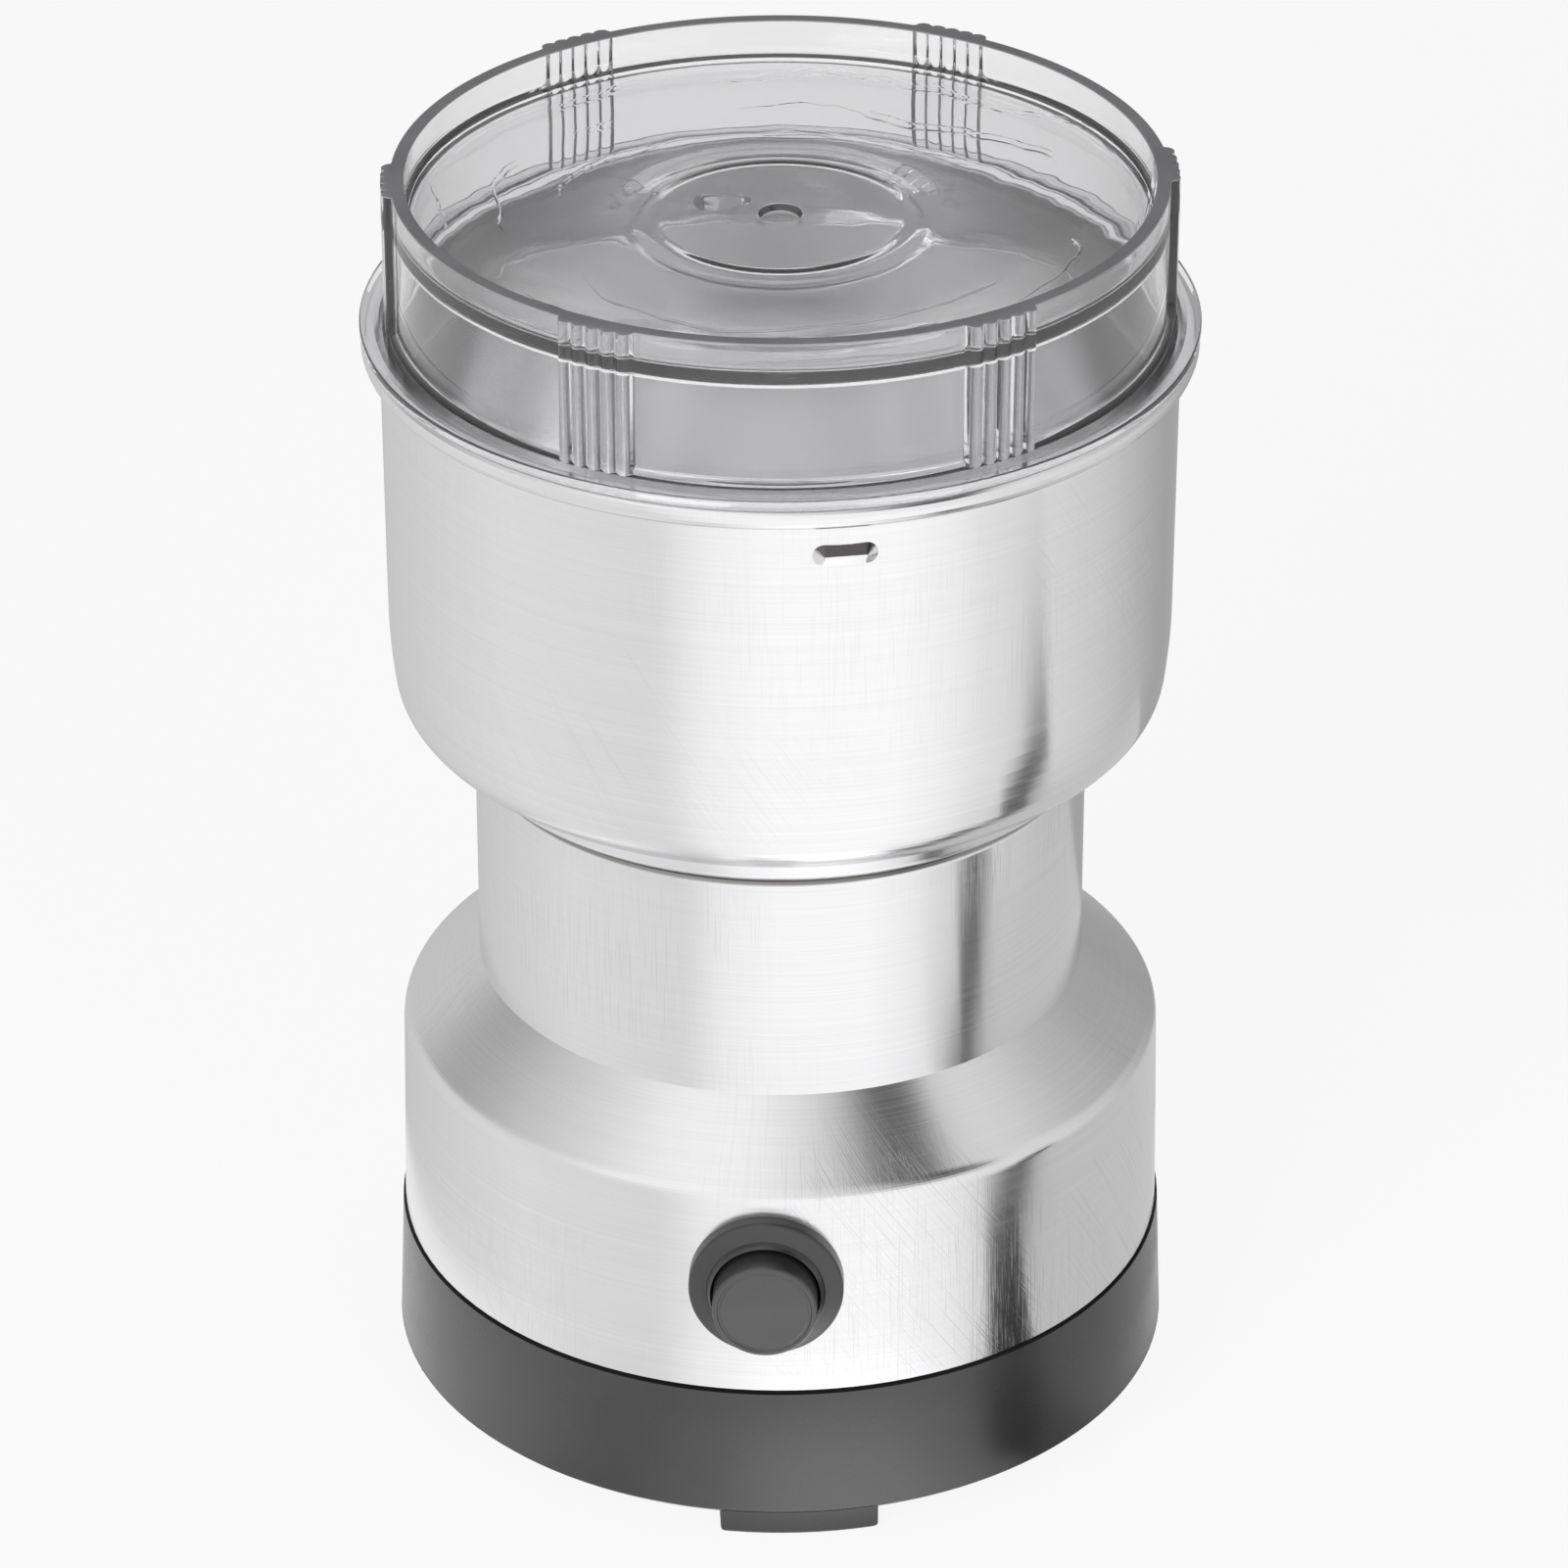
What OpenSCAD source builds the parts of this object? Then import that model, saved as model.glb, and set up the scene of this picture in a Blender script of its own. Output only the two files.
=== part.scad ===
// Electric spice grinder: a waisted steel body, a steel bowl and a clear push-on lid.
// Millimetres. Z is up, the button faces -Y, and the origin is where the bowl's axis
// meets the plane that the feet stand on.

/* [Steel body] */
// Radius of the skirt at its bottom edge
skirt_r = 49; // [46:0.5:56]
// How much the skirt narrows from its bottom edge to its top
skirt_draft = 0.5; // [0:0.1:1.5]
// Height of the skirt's straight side
skirt_h = 26.7; // [24:0.1:36]
// Radius of the rounded edge between the skirt and the shoulder
edge_r = 3; // [1:0.5:5]
// Height from the top of the skirt's side to the foot of the neck
shoulder_h = 10.4; // [8:0.1:16]
// Radius of the neck
neck_r = 38.6; // [36.5:0.1:42]
// Height of the neck
neck_h = 30.9; // [28:0.1:44]
// Radius of the rounded edge at the neck's top
neck_round = 1.3; // [1:0.1:2.5]
// Thickness of the body's sheet steel
shell_t = 0.8; // [0.5:0.1:1]
// Width of the inward flange at the neck's top
neck_flange_w = 8.6; // [5:0.1:9]
// Width of the inward lip at the skirt's bottom
lip_w = 2.2; // [1.5:0.1:3]

/* [Base and feet] */
// Height of the feet under the base
foot_h = 4; // [2:0.5:8]
// Width of a foot along the rim
foot_w = 20; // [12:1:26]
// Depth of a foot towards the middle
foot_d = 9; // [7:0.5:12]
// How far a foot's outer face lies inside the base's bottom edge
foot_inset = 1.5; // [0.5:0.5:4]
// Angle of the first foot, from the front towards the right
foot_turn = 5; // [0:1:20]
// Height of the base tub
base_h = 17.9; // [17:0.1:26]
// How far the base's top stands out past the skirt
base_proud = 0.3; // [0:0.1:1]
// How much the base narrows from its bottom to its top
base_draft = 0.7; // [0:0.1:2]
// Thickness of the base's side at its top
base_wall = 2.3; // [1.5:0.1:3]
// Thickness of the base's floor
base_floor = 2.4; // [1.5:0.1:3]
// Open seam between the base and the skirt
seam = 0.5; // [0.2:0.1:1]
// Radius of the bore that the mains lead comes in by
inlet_r = 3.2; // [2.5:0.1:4]
// Height of that bore's centre above the base's underside
inlet_h = 10.5; // [10.5:0.5:12]
// Wall of the rubber bush round the lead
bush_wall = 1.2; // [1:0.1:1.4]
// How far the bush stands out of the base
bush_proud = 4.2; // [2:0.1:5]
// Length of the collar that holds the bush inside the base
collar_len = 6; // [3:0.5:9]
// Number of air slots in the floor
vent_n = 20; // [12:1:24]
// Width of an air slot
vent_w = 2; // [1:0.2:2.4]

/* [Bowl] */
// Outer radius of the bowl's side
bowl_r = 49; // [47:0.1:54]
// How much the side widens up to the rim
bowl_draft = 0.15; // [0:0.05:0.6]
// Height of the bowl from its seat to the top of its rim
bowl_h = 56.7; // [50:0.1:80]
// Thickness of the bowl's sheet steel
bowl_t = 0.8; // [0.5:0.1:1]
// Radius of the rolled bead at the rim
bead_r = 1.55; // [1.1:0.05:2]
// Radius of the long curve where the side starts to draw in
draw_r = 75; // [50:1:100]
// Angle of that long curve
draw_a = 7.6; // [3:0.1:12]
// Radius of the bowl's corner
corner_r = 5.7; // [3:0.1:10]
// Angle of the corner
corner_a = 52; // [40:1:55]
// Radius of the sweep under the corner
sweep_r = 16.6; // [10:0.1:24]
// Angle of the sweep
sweep_a = 16; // [8:1:20]
// Height of the stepped ring that the bowl stands on
step_h = 3.5; // [2:0.1:5]
// Height of the raised middle of the bowl's floor
rise_h = 5.6; // [3:0.1:8]
// Radius of the hole in the bowl's floor
bowl_hole_r = 8.2; // [7:0.1:9]
// Width of the pressed catch in the bowl's side
catch_w = 7.8; // [5:0.1:12]
// Height of the catch
catch_h = 3; // [2:0.1:4]
// How far the catch stands out of the bowl's side
catch_d = 0.9; // [0.5:0.1:1.2]
// Depth of the catch's centre below the top of the rim
catch_drop = 7.2; // [6.4:0.1:9]
// Angle of the first catch, from the front towards the right
catch_turn = 11; // [0:0.5:30]

/* [Lid] */
// Outer radius of the lid's wall
lid_r = 47.4; // [44:0.1:52]
// Thickness of the lid's wall
lid_wall = 1.6; // [1.2:0.1:2.2]
// Height of the lid from the bowl's rim to its own rim
lid_h = 19.55; // [15:0.05:30]
// Thickness of the lid's flange
flange_t = 1.15; // [0.8:0.05:2]
// How far the flange stands out past the bowl's bead
flange_proud = 0.1; // [0:0.05:0.6]
// Depth of the skirt that reaches down into the bowl
plug_depth = 9.6; // [8.5:0.1:11]
// Gap between that skirt and the bowl's inside
plug_gap = 0.7; // [0.3:0.1:1]
// Depth of the lid's floor below its rim
floor_drop = 4.4; // [4.2:0.1:8]
// Thickness of the lid's floor
floor_t = 1.5; // [1:0.1:2]
// How far the floor dips between the wall and the middle
dish_dip = 1.8; // [0:0.1:3]
// Radius of the raised disc in the lid's middle
disc_r = 16; // [8:0.5:18]
// How far the disc's face lies below the floor's edge
disc_drop = 0.6; // [0:0.1:2]
// Height of the raised disc over its foot
disc_rise = 1.2; // [0.5:0.1:2]
// Radius of the small round hollow left by moulding
pip_r = 2.8; // [1:0.1:4]
// Number of grip pads round the lid
pads = 6; // [3:1:8]
// Angle of the first grip pad, from the front towards the right
pad_turn = -25; // [-30:1:30]
// Number of ribs in a grip pad
pad_ribs = 5; // [3:1:7]
// Distance from rib to rib
rib_pitch = 1.9; // [1.6:0.1:2]
// Radius of a rib
rib_r = 1.05; // [1.02:0.01:1.2]
// How far a rib stands out of the wall
rib_proud = 1.1; // [0.6:0.1:1.3]

/* [Button] */
// Diameter of the button
button_d = 13; // [10:0.1:14]
// Diameter of the ring round the button
bezel_d = 19.3; // [18.6:0.1:22]
// Gap all round between the button and its ring
button_gap = 0.25; // [0.1:0.05:0.5]
// Height of the button's centre above the base's underside
button_h = 34.2; // [33:0.1:36]
// How far the ring stands out of the skirt
bezel_proud = 1.5; // [1:0.1:3]
// How far the ring's face rises towards the button
bezel_rise = 0.5; // [0:0.1:1]
// How far the lip round the button stands out of the ring's face
bezel_lip = 0.9; // [0.3:0.1:1.5]
// How far the button stands out past the ring's outer edge
button_proud = 5; // [3:0.1:7]
// How far the button goes in
button_travel = 2.5; // [1:0.1:2.6]

/* [Blade] */
// Distance from tip to tip
blade_span = 58; // [40:1:70]
// Width of the blade at its middle
blade_w = 13; // [12:0.5:16]
// Width of the blade at its tips
tip_w = 8; // [4:0.5:10]
// Thickness of the blade
blade_t = 1.6; // [1:0.1:2.4]
// How far the tips rise
tip_rise = 5; // [0:0.5:8]
// Twist of the blade's wings
blade_twist = 20; // [0:1:30]
// Height of the blade's seat above the bowl's raised middle
blade_lift = 9.2; // [9:0.1:14]

/* [Motor] */
// Radius of the shaft in its bearings
shaft_r = 3; // [2.5:0.1:3.5]
// Outer radius of a bearing
bearing_r = 5; // [4.2:0.1:5.5]
// Outer radius of the rotor
rotor_r = 16.8; // [15:0.1:17.5]
// Air gap between the rotor and the stator
air_gap = 0.5; // [0.3:0.1:1]
// Height of the stacks of steel plates
stack_h = 22; // [16:0.5:24]
// Width of the stator across its flats
stator_w = 54; // [52:0.5:56]
// Number of slots in the rotor
rotor_slots = 12; // [8:1:14]
// Height of the winding past each end of the rotor
winding_h = 6.5; // [4:0.5:7]
// Radius of the commutator
commutator_r = 9.5; // [8:0.1:10]
// Number of bars in the commutator
commutator_bars = 24; // [12:1:30]
// Side of the square carbon brushes
brush_w = 5; // [4:0.1:6]
// Length of the carbon brushes
brush_len = 10; // [8:0.1:11]
// Thickness of the motor frames' plates
frame_t = 3; // [3:0.1:4]
// Radius of the cooling fan
fan_r = 22; // [16:0.5:24]
// Number of fan blades
fan_blades = 12; // [6:1:16]

/* [Hidden] */
$fn = 96;
// Clearances: glued or pressed pieces, pieces that seat, and pieces that turn or slide
fit = 0.02;
seat = 0.05;
run = 0.04;

// Heights from the feet up
base_z0 = foot_h;
floor_z = base_z0 + base_floor;
base_z1 = base_z0 + base_h;
skirt_z0 = base_z1 + seam;
skirt_z1 = skirt_z0 + skirt_h;
neck_z0 = skirt_z1 + shoulder_h;
neck_z1 = neck_z0 + neck_h;
gasket_t = 0.5;
bowl_z0 = neck_z1 + gasket_t;
rim_z = bowl_z0 + bowl_h;
lid_z0 = rim_z + seat;
lid_z1 = lid_z0 + lid_h;
lid_floor_z = lid_z1 - floor_drop;

// Steel body
skirt_top_r = skirt_r - skirt_draft;
edge_c = [skirt_top_r - edge_r, skirt_z1];
edge_to_neck = [neck_r, neck_z0] - edge_c;
shoulder_a = atan2(edge_to_neck[1], edge_to_neck[0]) - acos(edge_r / norm(edge_to_neck));
flange_in_r = neck_r - neck_flange_w;
lip_in_r = skirt_r - lip_w;

// Base tub and what it is screwed to
base_r1 = skirt_r + base_proud;
base_r0 = base_r1 + base_draft;
base_in_r = base_r1 - base_wall;
foot_edge = 0.4;
foot_corner = 1;
foot_stem_r = 2.5;
spigot_t = 1.5;
spigot_r = lip_in_r - seat;
bush_r = inlet_r + bush_wall;
bush_flange_r = bush_r + 1.6;
bush_flange_t = 1.4;
bush_face = base_r0 - base_draft * inlet_h / base_h + bush_proud;
post_ring_r = base_in_r - 7;
post_r = 4.2;
post_h = 8;
post_top_z = floor_z + post_h;
post_turn = foot_turn + 45;
chassis_z0 = skirt_z0 + shell_t + seat;
chassis_t = 2.5;
chassis_z1 = chassis_z0 + chassis_t;
chassis_r = skirt_r - skirt_draft * 0.2 - shell_t - 0.3;
chassis_in_r = fan_r + 4;
chassis_rim_in = 5.5;
chassis_rim_out = 5;
screw_r = 1.5;
screw_hole_r = 1.7;
pilot_r = screw_r + seat;
head_r = 2.8;
head_h = 2.2;

// Bowl outline: centres of the three arcs that run into each other
sweep_end_z = bowl_z0 + step_h;
bend_1 = draw_a;
bend_2 = draw_a + corner_a;
bend_3 = draw_a + corner_a + sweep_a;
draw_z = sweep_end_z + draw_r * sin(bend_1) + corner_r * (sin(bend_2) - sin(bend_1))
    + sweep_r * (sin(bend_3) - sin(bend_2));
draw_c = [bowl_r - draw_r, draw_z];
corner_c = draw_c + (draw_r - corner_r) * [cos(bend_1), -sin(bend_1)];
sweep_c = corner_c + (corner_r - sweep_r) * [cos(bend_2), -sin(bend_2)];
sweep_end_r = sweep_c[0] + sweep_r * cos(bend_3);
ring_r = sweep_end_r - 0.9;
bowl_in_r = bowl_r + bowl_draft - bowl_t;
bead_z = rim_z - bead_r;
bead_c_r = bowl_in_r + bead_r;
bead_out_r = bead_c_r + bead_r;
rise_r0 = 19;
rise_r1 = 12.5;
rise_z = bowl_z0 + rise_h;
catch_z = rim_z - catch_drop;
catch_tip = 0.15;
catch_slope = (catch_h / 2 - catch_tip) / catch_d;
catch_in = bowl_t * (sqrt(1 + pow(catch_slope, 2)) - catch_slope);

// Lid
lid_foot = 1;
lid_edge = 0.3;
flange_r = max(bead_out_r + flange_proud, lid_r + lid_foot + lid_edge + 0.2);
plug_r = bowl_in_r - plug_gap;
plug_in_r = plug_r - lid_wall + 0.1;
lid_in_r = lid_r - lid_wall;
disc_foot_r = disc_r + 2.2;

// Motor, from the neck's flange down
upper_z1 = neck_z1 - shell_t - fit;
upper_z0 = upper_z1 - frame_t;
upper_post_h = 9.6;
stack_z1 = upper_z0 - upper_post_h;
stack_z0 = stack_z1 - stack_h;
nose_r = bowl_hole_r - 0.2;
nose_z = rise_z + bowl_t + gasket_t + 3.6;
upper_r = neck_r - shell_t - 1.3;
nose_cup = 2.6;
washer_w = 3;
wire_r = 1.9;
fan_hub_r = 5.5;
fan_blade_in = 8;

// Motor, from the chassis up
damper_t = 2.2;
lower_z0 = chassis_z1 + damper_t;
lower_z1 = lower_z0 + frame_t;
damper_w = 4.5;
lower_r = chassis_in_r + damper_w;
boss_r = bearing_r + 3;
boss_z0 = lower_z0 - 4;
boss_z1 = lower_z1 + 0.5;
brush_z = lower_z1 + 7.2;
commutator_z0 = lower_z1 + 2.4;
commutator_h = 11;
holder_w = brush_w + 2;
holder_x0 = commutator_r + 1.3;
holder_x1 = holder_x0 + 15.2;

// Stator section
bore_r = rotor_r + air_gap;
slot_r0 = bore_r + 2.2;
slot_r1 = slot_r0 + 4.4;
slot_a = 44;
coil_gap = 0.25;
tie_post_r = 4;
tie_xy = min(max(stator_w / 2 - 6, (slot_r1 + tie_post_r + 0.3) / sqrt(2)),
    (upper_r - tie_post_r - 0.2) / sqrt(2));

// Shaft: a thick middle between its two journals
core_shaft_r = shaft_r + 1;
washer_t = 0.6;
shaft_step_z0 = boss_z1 + washer_t + 0.2;
shaft_step_z1 = upper_z0 - washer_t - 0.2;
fan_z0 = floor_z + 5.6;
shaft_z0 = fan_z0 - 2;
blade_z0 = rise_z + bowl_t + blade_lift;
hub_r = 6.5;
thread_r = shaft_r - 0.5;
shaft_z1 = blade_z0 + blade_t + 3.6;

// Button, measured outward from the axis
button_z = base_z0 + button_h;
skirt_r_here = skirt_r - skirt_draft * (button_z - skirt_z0) / skirt_h;
bezel_face = skirt_r_here + bezel_proud;
button_face = bezel_face + button_proud;
button_bore_r = button_d / 2 + button_gap;
barrel_r = button_bore_r + 1.6;
lip_r = button_bore_r + 0.7;
bezel_edge = 0.5;
barrel_back = skirt_r_here - 8.5;
nut_back = 5.4;
nut_w = 2.8;
nut_t = 2.8;
stop_at = skirt_r_here - 2.1;
collar_r = button_bore_r + 0.45;
collar_t = 1.3;
button_back = stop_at - seat - collar_t;
switch_front = barrel_back - 0.1;
switch_w = 14;
switch_h = 12;
switch_d = 14;
plunger_r = 1.9;
plunger_len = 10.5;

// Points along an arc about a centre
function arc(c, r, a0, a1, n = 8) =
    [for (i = [0:n]) c + r * [cos(a0 + (a1 - a0) * i / n), sin(a0 + (a1 - a0) * i / n)]];

function reversed(list) = [for (i = [len(list) - 1:-1:0]) list[i]];

// The body's outer surface moved inward by t, from the skirt's bottom to the neck's top
function body_side(t) = concat(
    [[skirt_r - t, skirt_z0 + t], [skirt_top_r - t, skirt_z1]],
    arc(edge_c, edge_r - t, 0, shoulder_a),
    [[neck_r - t, neck_z0 - t * tan(shoulder_a / 2)]],
    arc([neck_r - neck_round, neck_z1 - neck_round], neck_round - t, 0, 90, 5)
);

// The bowl's outer surface moved inward by t, from the rim down to the end of the sweep
function bowl_side(t) = concat(
    [[bowl_r + bowl_draft - t, bead_z]],
    arc(draw_c, draw_r - t, 0, -bend_1, 5),
    arc(corner_c, corner_r - t, -bend_1, -bend_2, 10),
    arc(sweep_c, sweep_r - t, -bend_2, -bend_3, 5)
);

// Height of the lid's floor along its radius: a dish that rises to the wall and the disc
function dish_z(r) =
    let(u = (r - disc_foot_r) / (lid_in_r - disc_foot_r))
    lid_floor_z - dish_dip * pow(sin(180 * pow(u, 0.62)), 2) - (disc_drop + disc_rise) * (1 - u);

// Height of the ring's face round the button, which rises from its edge to the lip
function bezel_z(r) =
    let(edge = bezel_d / 2 - bezel_edge) bezel_face + bezel_rise * (edge - r) / (edge - lip_r);

// A point list swept as a wire with round ends left flat, as one polyhedron
module wire(path, r, sides = 6) {
    n = len(path);
    ahead = function (i) path[min(i + 1, n - 1)] - path[max(i - 1, 0)];
    rings = [for (i = [0:n - 1])
        let(d = ahead(i) / norm(ahead(i)),
            u = cross(d, [0.1, 0.2, 1]) / norm(cross(d, [0.1, 0.2, 1])),
            v = cross(d, u))
        for (k = [0:sides - 1])
            path[i] + r * (u * cos(360 * k / sides) + v * sin(360 * k / sides))];
    walls = [for (i = [0:n - 2]) for (k = [0:sides - 1])
        let(a = i * sides + k, b = i * sides + (k + 1) % sides)
        each [[a, a + sides, b], [b, a + sides, b + sides]]];
    ends = [[for (k = [0:sides - 1]) k],
        [for (k = [sides - 1:-1:0]) (n - 1) * sides + k]];
    polyhedron(rings, concat(walls, ends), convexity = 4);
}

// A compression spring from the origin along Z
module coil_spring(r, wire_r, length, turns, steps = 12) {
    rise = length - 2 * wire_r;
    wire([for (i = [0:turns * steps])
        [r * cos(360 * i / steps), r * sin(360 * i / steps),
         wire_r + rise * i / (turns * steps)]], wire_r);
}

// Turns a shape about the axis, its local Z pointing outward at the front
module facing_front(z) {
    translate([0, 0, z]) rotate([90, 0, 0]) children();
}

module ring(r_in, r_out, h) {
    difference() {
        cylinder(r = r_out, h = h);
        translate([0, 0, -1]) cylinder(r = r_in, h = h + 2);
    }
}

// Part of a ring between two angles
module sector(r_in, r_out, h, a0, a1) {
    rotate([0, 0, a0]) rotate_extrude(angle = a1 - a0)
        translate([r_in, 0]) square([r_out - r_in, h]);
}

// A square with round corners, centred on the axis
module rounded_square(w, d, r) {
    square([w - 2 * r, d], center = true);
    square([w, d - 2 * r], center = true);
    for (x = [-1, 1], y = [-1, 1])
        translate([x * (w / 2 - r), y * (d / 2 - r)]) circle(r = r);
}

module round_slot(w, len, h) {
    translate([-len / 2 + w / 2, -w / 2, 0]) cube([len - w, w, h]);
    for (x = [-1, 1]) translate([x * (len - w) / 2, 0, 0]) cylinder(d = w, h = h);
}

// The catch's shape: a slot outline that narrows outward like a roof. Its size is that at
// local Z 0, and its root goes on inward at the same slope.
module catch_form(w, h, d, root) {
    base = h / 2 + root * (h / 2 - catch_tip) / d;
    for (x = [-1, 1]) translate([x * (w - h) / 2, 0, -root])
        cylinder(r1 = base, r2 = catch_tip, h = d + root);
    translate([-(w - h) / 2, 0, 0]) rotate([90, 0, 90]) linear_extrude(w - h)
        polygon([[-base, -root], [base, -root], [catch_tip, d], [-catch_tip, d]]);
}

// A foot seen from outside, with its lower corners rounded
module foot_face() {
    translate([-foot_w / 2, foot_corner]) square([foot_w, foot_h - foot_corner]);
    translate([foot_corner - foot_w / 2, 0]) square([foot_w - 2 * foot_corner, foot_h]);
    for (x = [-1, 1]) translate([x * (foot_w / 2 - foot_corner), foot_corner])
        circle(r = foot_corner);
}

module feet() {
    color([0.2, 0.2, 0.21])
    for (i = [0:3]) rotate([0, 0, foot_turn + 90 * i]) {
        outer = base_r0 - foot_inset;
        intersection() {
            translate([0, foot_d / 2 - outer, 0]) linear_extrude(foot_h)
                rounded_square(foot_w, foot_d + 2, 2.4);
            union() {
                cylinder(r1 = outer - foot_edge, r2 = outer, h = foot_edge);
                translate([0, 0, foot_edge]) cylinder(r = outer, h = foot_h - foot_edge);
            }
            translate([0, foot_d - outer, 0]) rotate([90, 0, 0]) linear_extrude(foot_d + 5)
                foot_face();
        }
        translate([0, foot_d / 2 - outer, foot_h / 2])
            cylinder(r = foot_stem_r, h = foot_h / 2 + base_floor + 0.5);
        translate([0, foot_d / 2 - outer, floor_z + seat]) cylinder(r1 = 3.2, r2 = 2.2, h = 2);
    }
}

module base_tub() {
    chamfer = 0.6;
    color([0.36, 0.36, 0.38])
    difference() {
        union() {
            rotate_extrude() polygon([
                [0, base_z0], [base_r0 - chamfer, base_z0], [base_r0, base_z0 + chamfer],
                [base_r1, base_z1], [spigot_r, base_z1], [spigot_r, base_z1 + 1.2],
                [spigot_r - spigot_t, base_z1 + 1.2], [spigot_r - spigot_t, base_z1 - 1],
                [base_in_r, base_z1 - 3.5], [base_in_r, floor_z], [0, floor_z]]);
            for (i = [0:3]) rotate([0, 0, post_turn + 90 * i])
                translate([0, -post_ring_r, floor_z - 1]) cylinder(r = post_r, h = post_h + 1);
            intersection() {
                translate([0, base_in_r - collar_len, base_z0 + inlet_h]) rotate([-90, 0, 0])
                    cylinder(r = bush_r + 1.2, h = collar_len + 1);
                cylinder(r = base_in_r + 1, h = base_z1);
            }
        }
        translate([0, base_in_r - collar_len - 1, base_z0 + inlet_h]) rotate([-90, 0, 0])
            cylinder(r = bush_r + fit, h = collar_len + base_wall + 5);
        for (i = [0:3]) {
            rotate([0, 0, post_turn + 90 * i]) translate([0, -post_ring_r, base_z0 - 1]) {
                cylinder(r = head_r + 0.3, h = 5);
                cylinder(r = screw_hole_r, h = post_top_z);
            }
            rotate([0, 0, foot_turn + 90 * i])
                translate([0, foot_d / 2 + foot_inset - base_r0, base_z0 - 1])
                    cylinder(r = foot_stem_r + 0.1, h = base_floor + 2);
        }
        for (i = [0:vent_n - 1]) rotate([0, 0, 360 * i / vent_n])
            translate([fan_r * 0.72, 0, base_z0 - 1]) round_slot(vent_w, fan_r * 0.6, base_floor + 2);
    }
}

// Pan-headed screw pointing up, the head's underside at local Z 0
module screw(len) {
    cylinder(r = screw_r, h = len);
    translate([0, 0, -head_h]) difference() {
        cylinder(r1 = head_r - 0.4, r2 = head_r, h = head_h);
        for (a = [0, 90]) rotate([0, 0, a]) translate([-1.6, -0.35, -1]) cube([3.2, 0.7, 2]);
    }
}

module base_screws() {
    color([0.6, 0.6, 0.62])
    for (i = [0:3]) rotate([0, 0, post_turn + 90 * i])
        translate([0, -post_ring_r, base_z0 + 4 - seat]) screw(post_top_z - base_z0 + 2);
}

// Bush of the mains lead: a sleeve through the base's back, with a flange on the outside
module lead_bush() {
    back = base_in_r - collar_len;
    out_z = bush_face - bush_proud;
    color([0.13, 0.13, 0.14])
    translate([0, 0, base_z0 + inlet_h]) difference() {
        union() {
            rotate([-90, 0, 0]) translate([0, 0, back]) cylinder(r = bush_r, h = out_z - back);
            difference() {
                rotate([-90, 0, 0]) rotate_extrude() polygon([
                    [0, out_z - 2], [bush_flange_r, out_z - 2],
                    [bush_flange_r, out_z + bush_flange_t - 0.4],
                    [bush_flange_r - 0.4, out_z + bush_flange_t],
                    [bush_r + 0.5, out_z + bush_flange_t], [bush_r - 0.1, bush_face - 0.4],
                    [bush_r - 0.5, bush_face], [0, bush_face]]);
                translate([0, 0, -inlet_h])
                    cylinder(r1 = base_r0 + seat, r2 = base_r1 + seat, h = base_h);
            }
        }
        rotate([-90, 0, 0]) translate([0, 0, back - 1]) cylinder(r = inlet_r, h = 30);
    }
}

module chassis() {
    color([0.16, 0.16, 0.17])
    difference() {
        union() {
            translate([0, 0, chassis_z0]) cylinder(r = chassis_r, h = chassis_t);
            for (i = [0:3]) rotate([0, 0, post_turn + 90 * i])
                translate([0, -post_ring_r, post_top_z + seat])
                    cylinder(r = 3.6, h = chassis_z1 - post_top_z - seat);
        }
        translate([0, 0, chassis_z0 - 1]) cylinder(r = chassis_in_r, h = chassis_t + 2);
        for (i = [0:3]) rotate([0, 0, post_turn + 90 * i]) {
            translate([0, -post_ring_r, post_top_z - 1])
                cylinder(r = pilot_r, h = chassis_z1 - post_top_z - 1);
            translate([0, 0, chassis_z0 - 1])
                sector(chassis_in_r + chassis_rim_in, chassis_r - chassis_rim_out,
                    chassis_t + 2, -70, -20);
        }
    }
}

module housing_shell() {
    color([0.8, 0.8, 0.81])
    difference() {
        rotate_extrude() polygon(concat(
            [[lip_in_r, skirt_z0]], body_side(0),
            [[flange_in_r, neck_z1], [flange_in_r, neck_z1 - shell_t]],
            reversed(body_side(shell_t)), [[lip_in_r, skirt_z0 + shell_t]]));
        facing_front(button_z) cylinder(r = barrel_r + 0.15, h = skirt_r + 5);
    }
}

module switch_bezel() {
    face = bezel_face;
    bezel_r = bezel_d / 2;
    color([0.3, 0.3, 0.32]) {
        difference() {
            facing_front(button_z) rotate_extrude() polygon(concat(
                [[barrel_r - 0.5, skirt_r_here - 4], [bezel_r, skirt_r_here - 4]],
                arc([bezel_r - bezel_edge, face - bezel_edge], bezel_edge, 0, 90, 4),
                [[barrel_r - 0.5, bezel_z(barrel_r - 0.5)]]));
            translate([0, 0, skirt_z0 - 1])
                cylinder(r1 = skirt_r + seat, r2 = skirt_top_r + seat, h = skirt_h + 2);
        }
        facing_front(button_z) rotate_extrude() polygon([
            [button_bore_r, stop_at], [collar_r + 0.25, stop_at],
            [collar_r + 0.25, barrel_back], [barrel_r, barrel_back], [barrel_r, face],
            [barrel_r - 0.49, bezel_z(barrel_r - 0.49) - 0.02], [lip_r, bezel_z(lip_r)],
            [lip_r - 0.25, bezel_z(lip_r) + bezel_lip * 0.6],
            [button_bore_r + 0.15, bezel_z(lip_r) + bezel_lip],
            [button_bore_r, bezel_z(lip_r) + bezel_lip - 0.15]]);
    }
}

module bezel_nut() {
    color([0.5, 0.5, 0.52])
    facing_front(button_z) translate([0, 0, skirt_r_here - nut_back])
        ring(barrel_r + seat, barrel_r + nut_w, nut_t);
}

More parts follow.
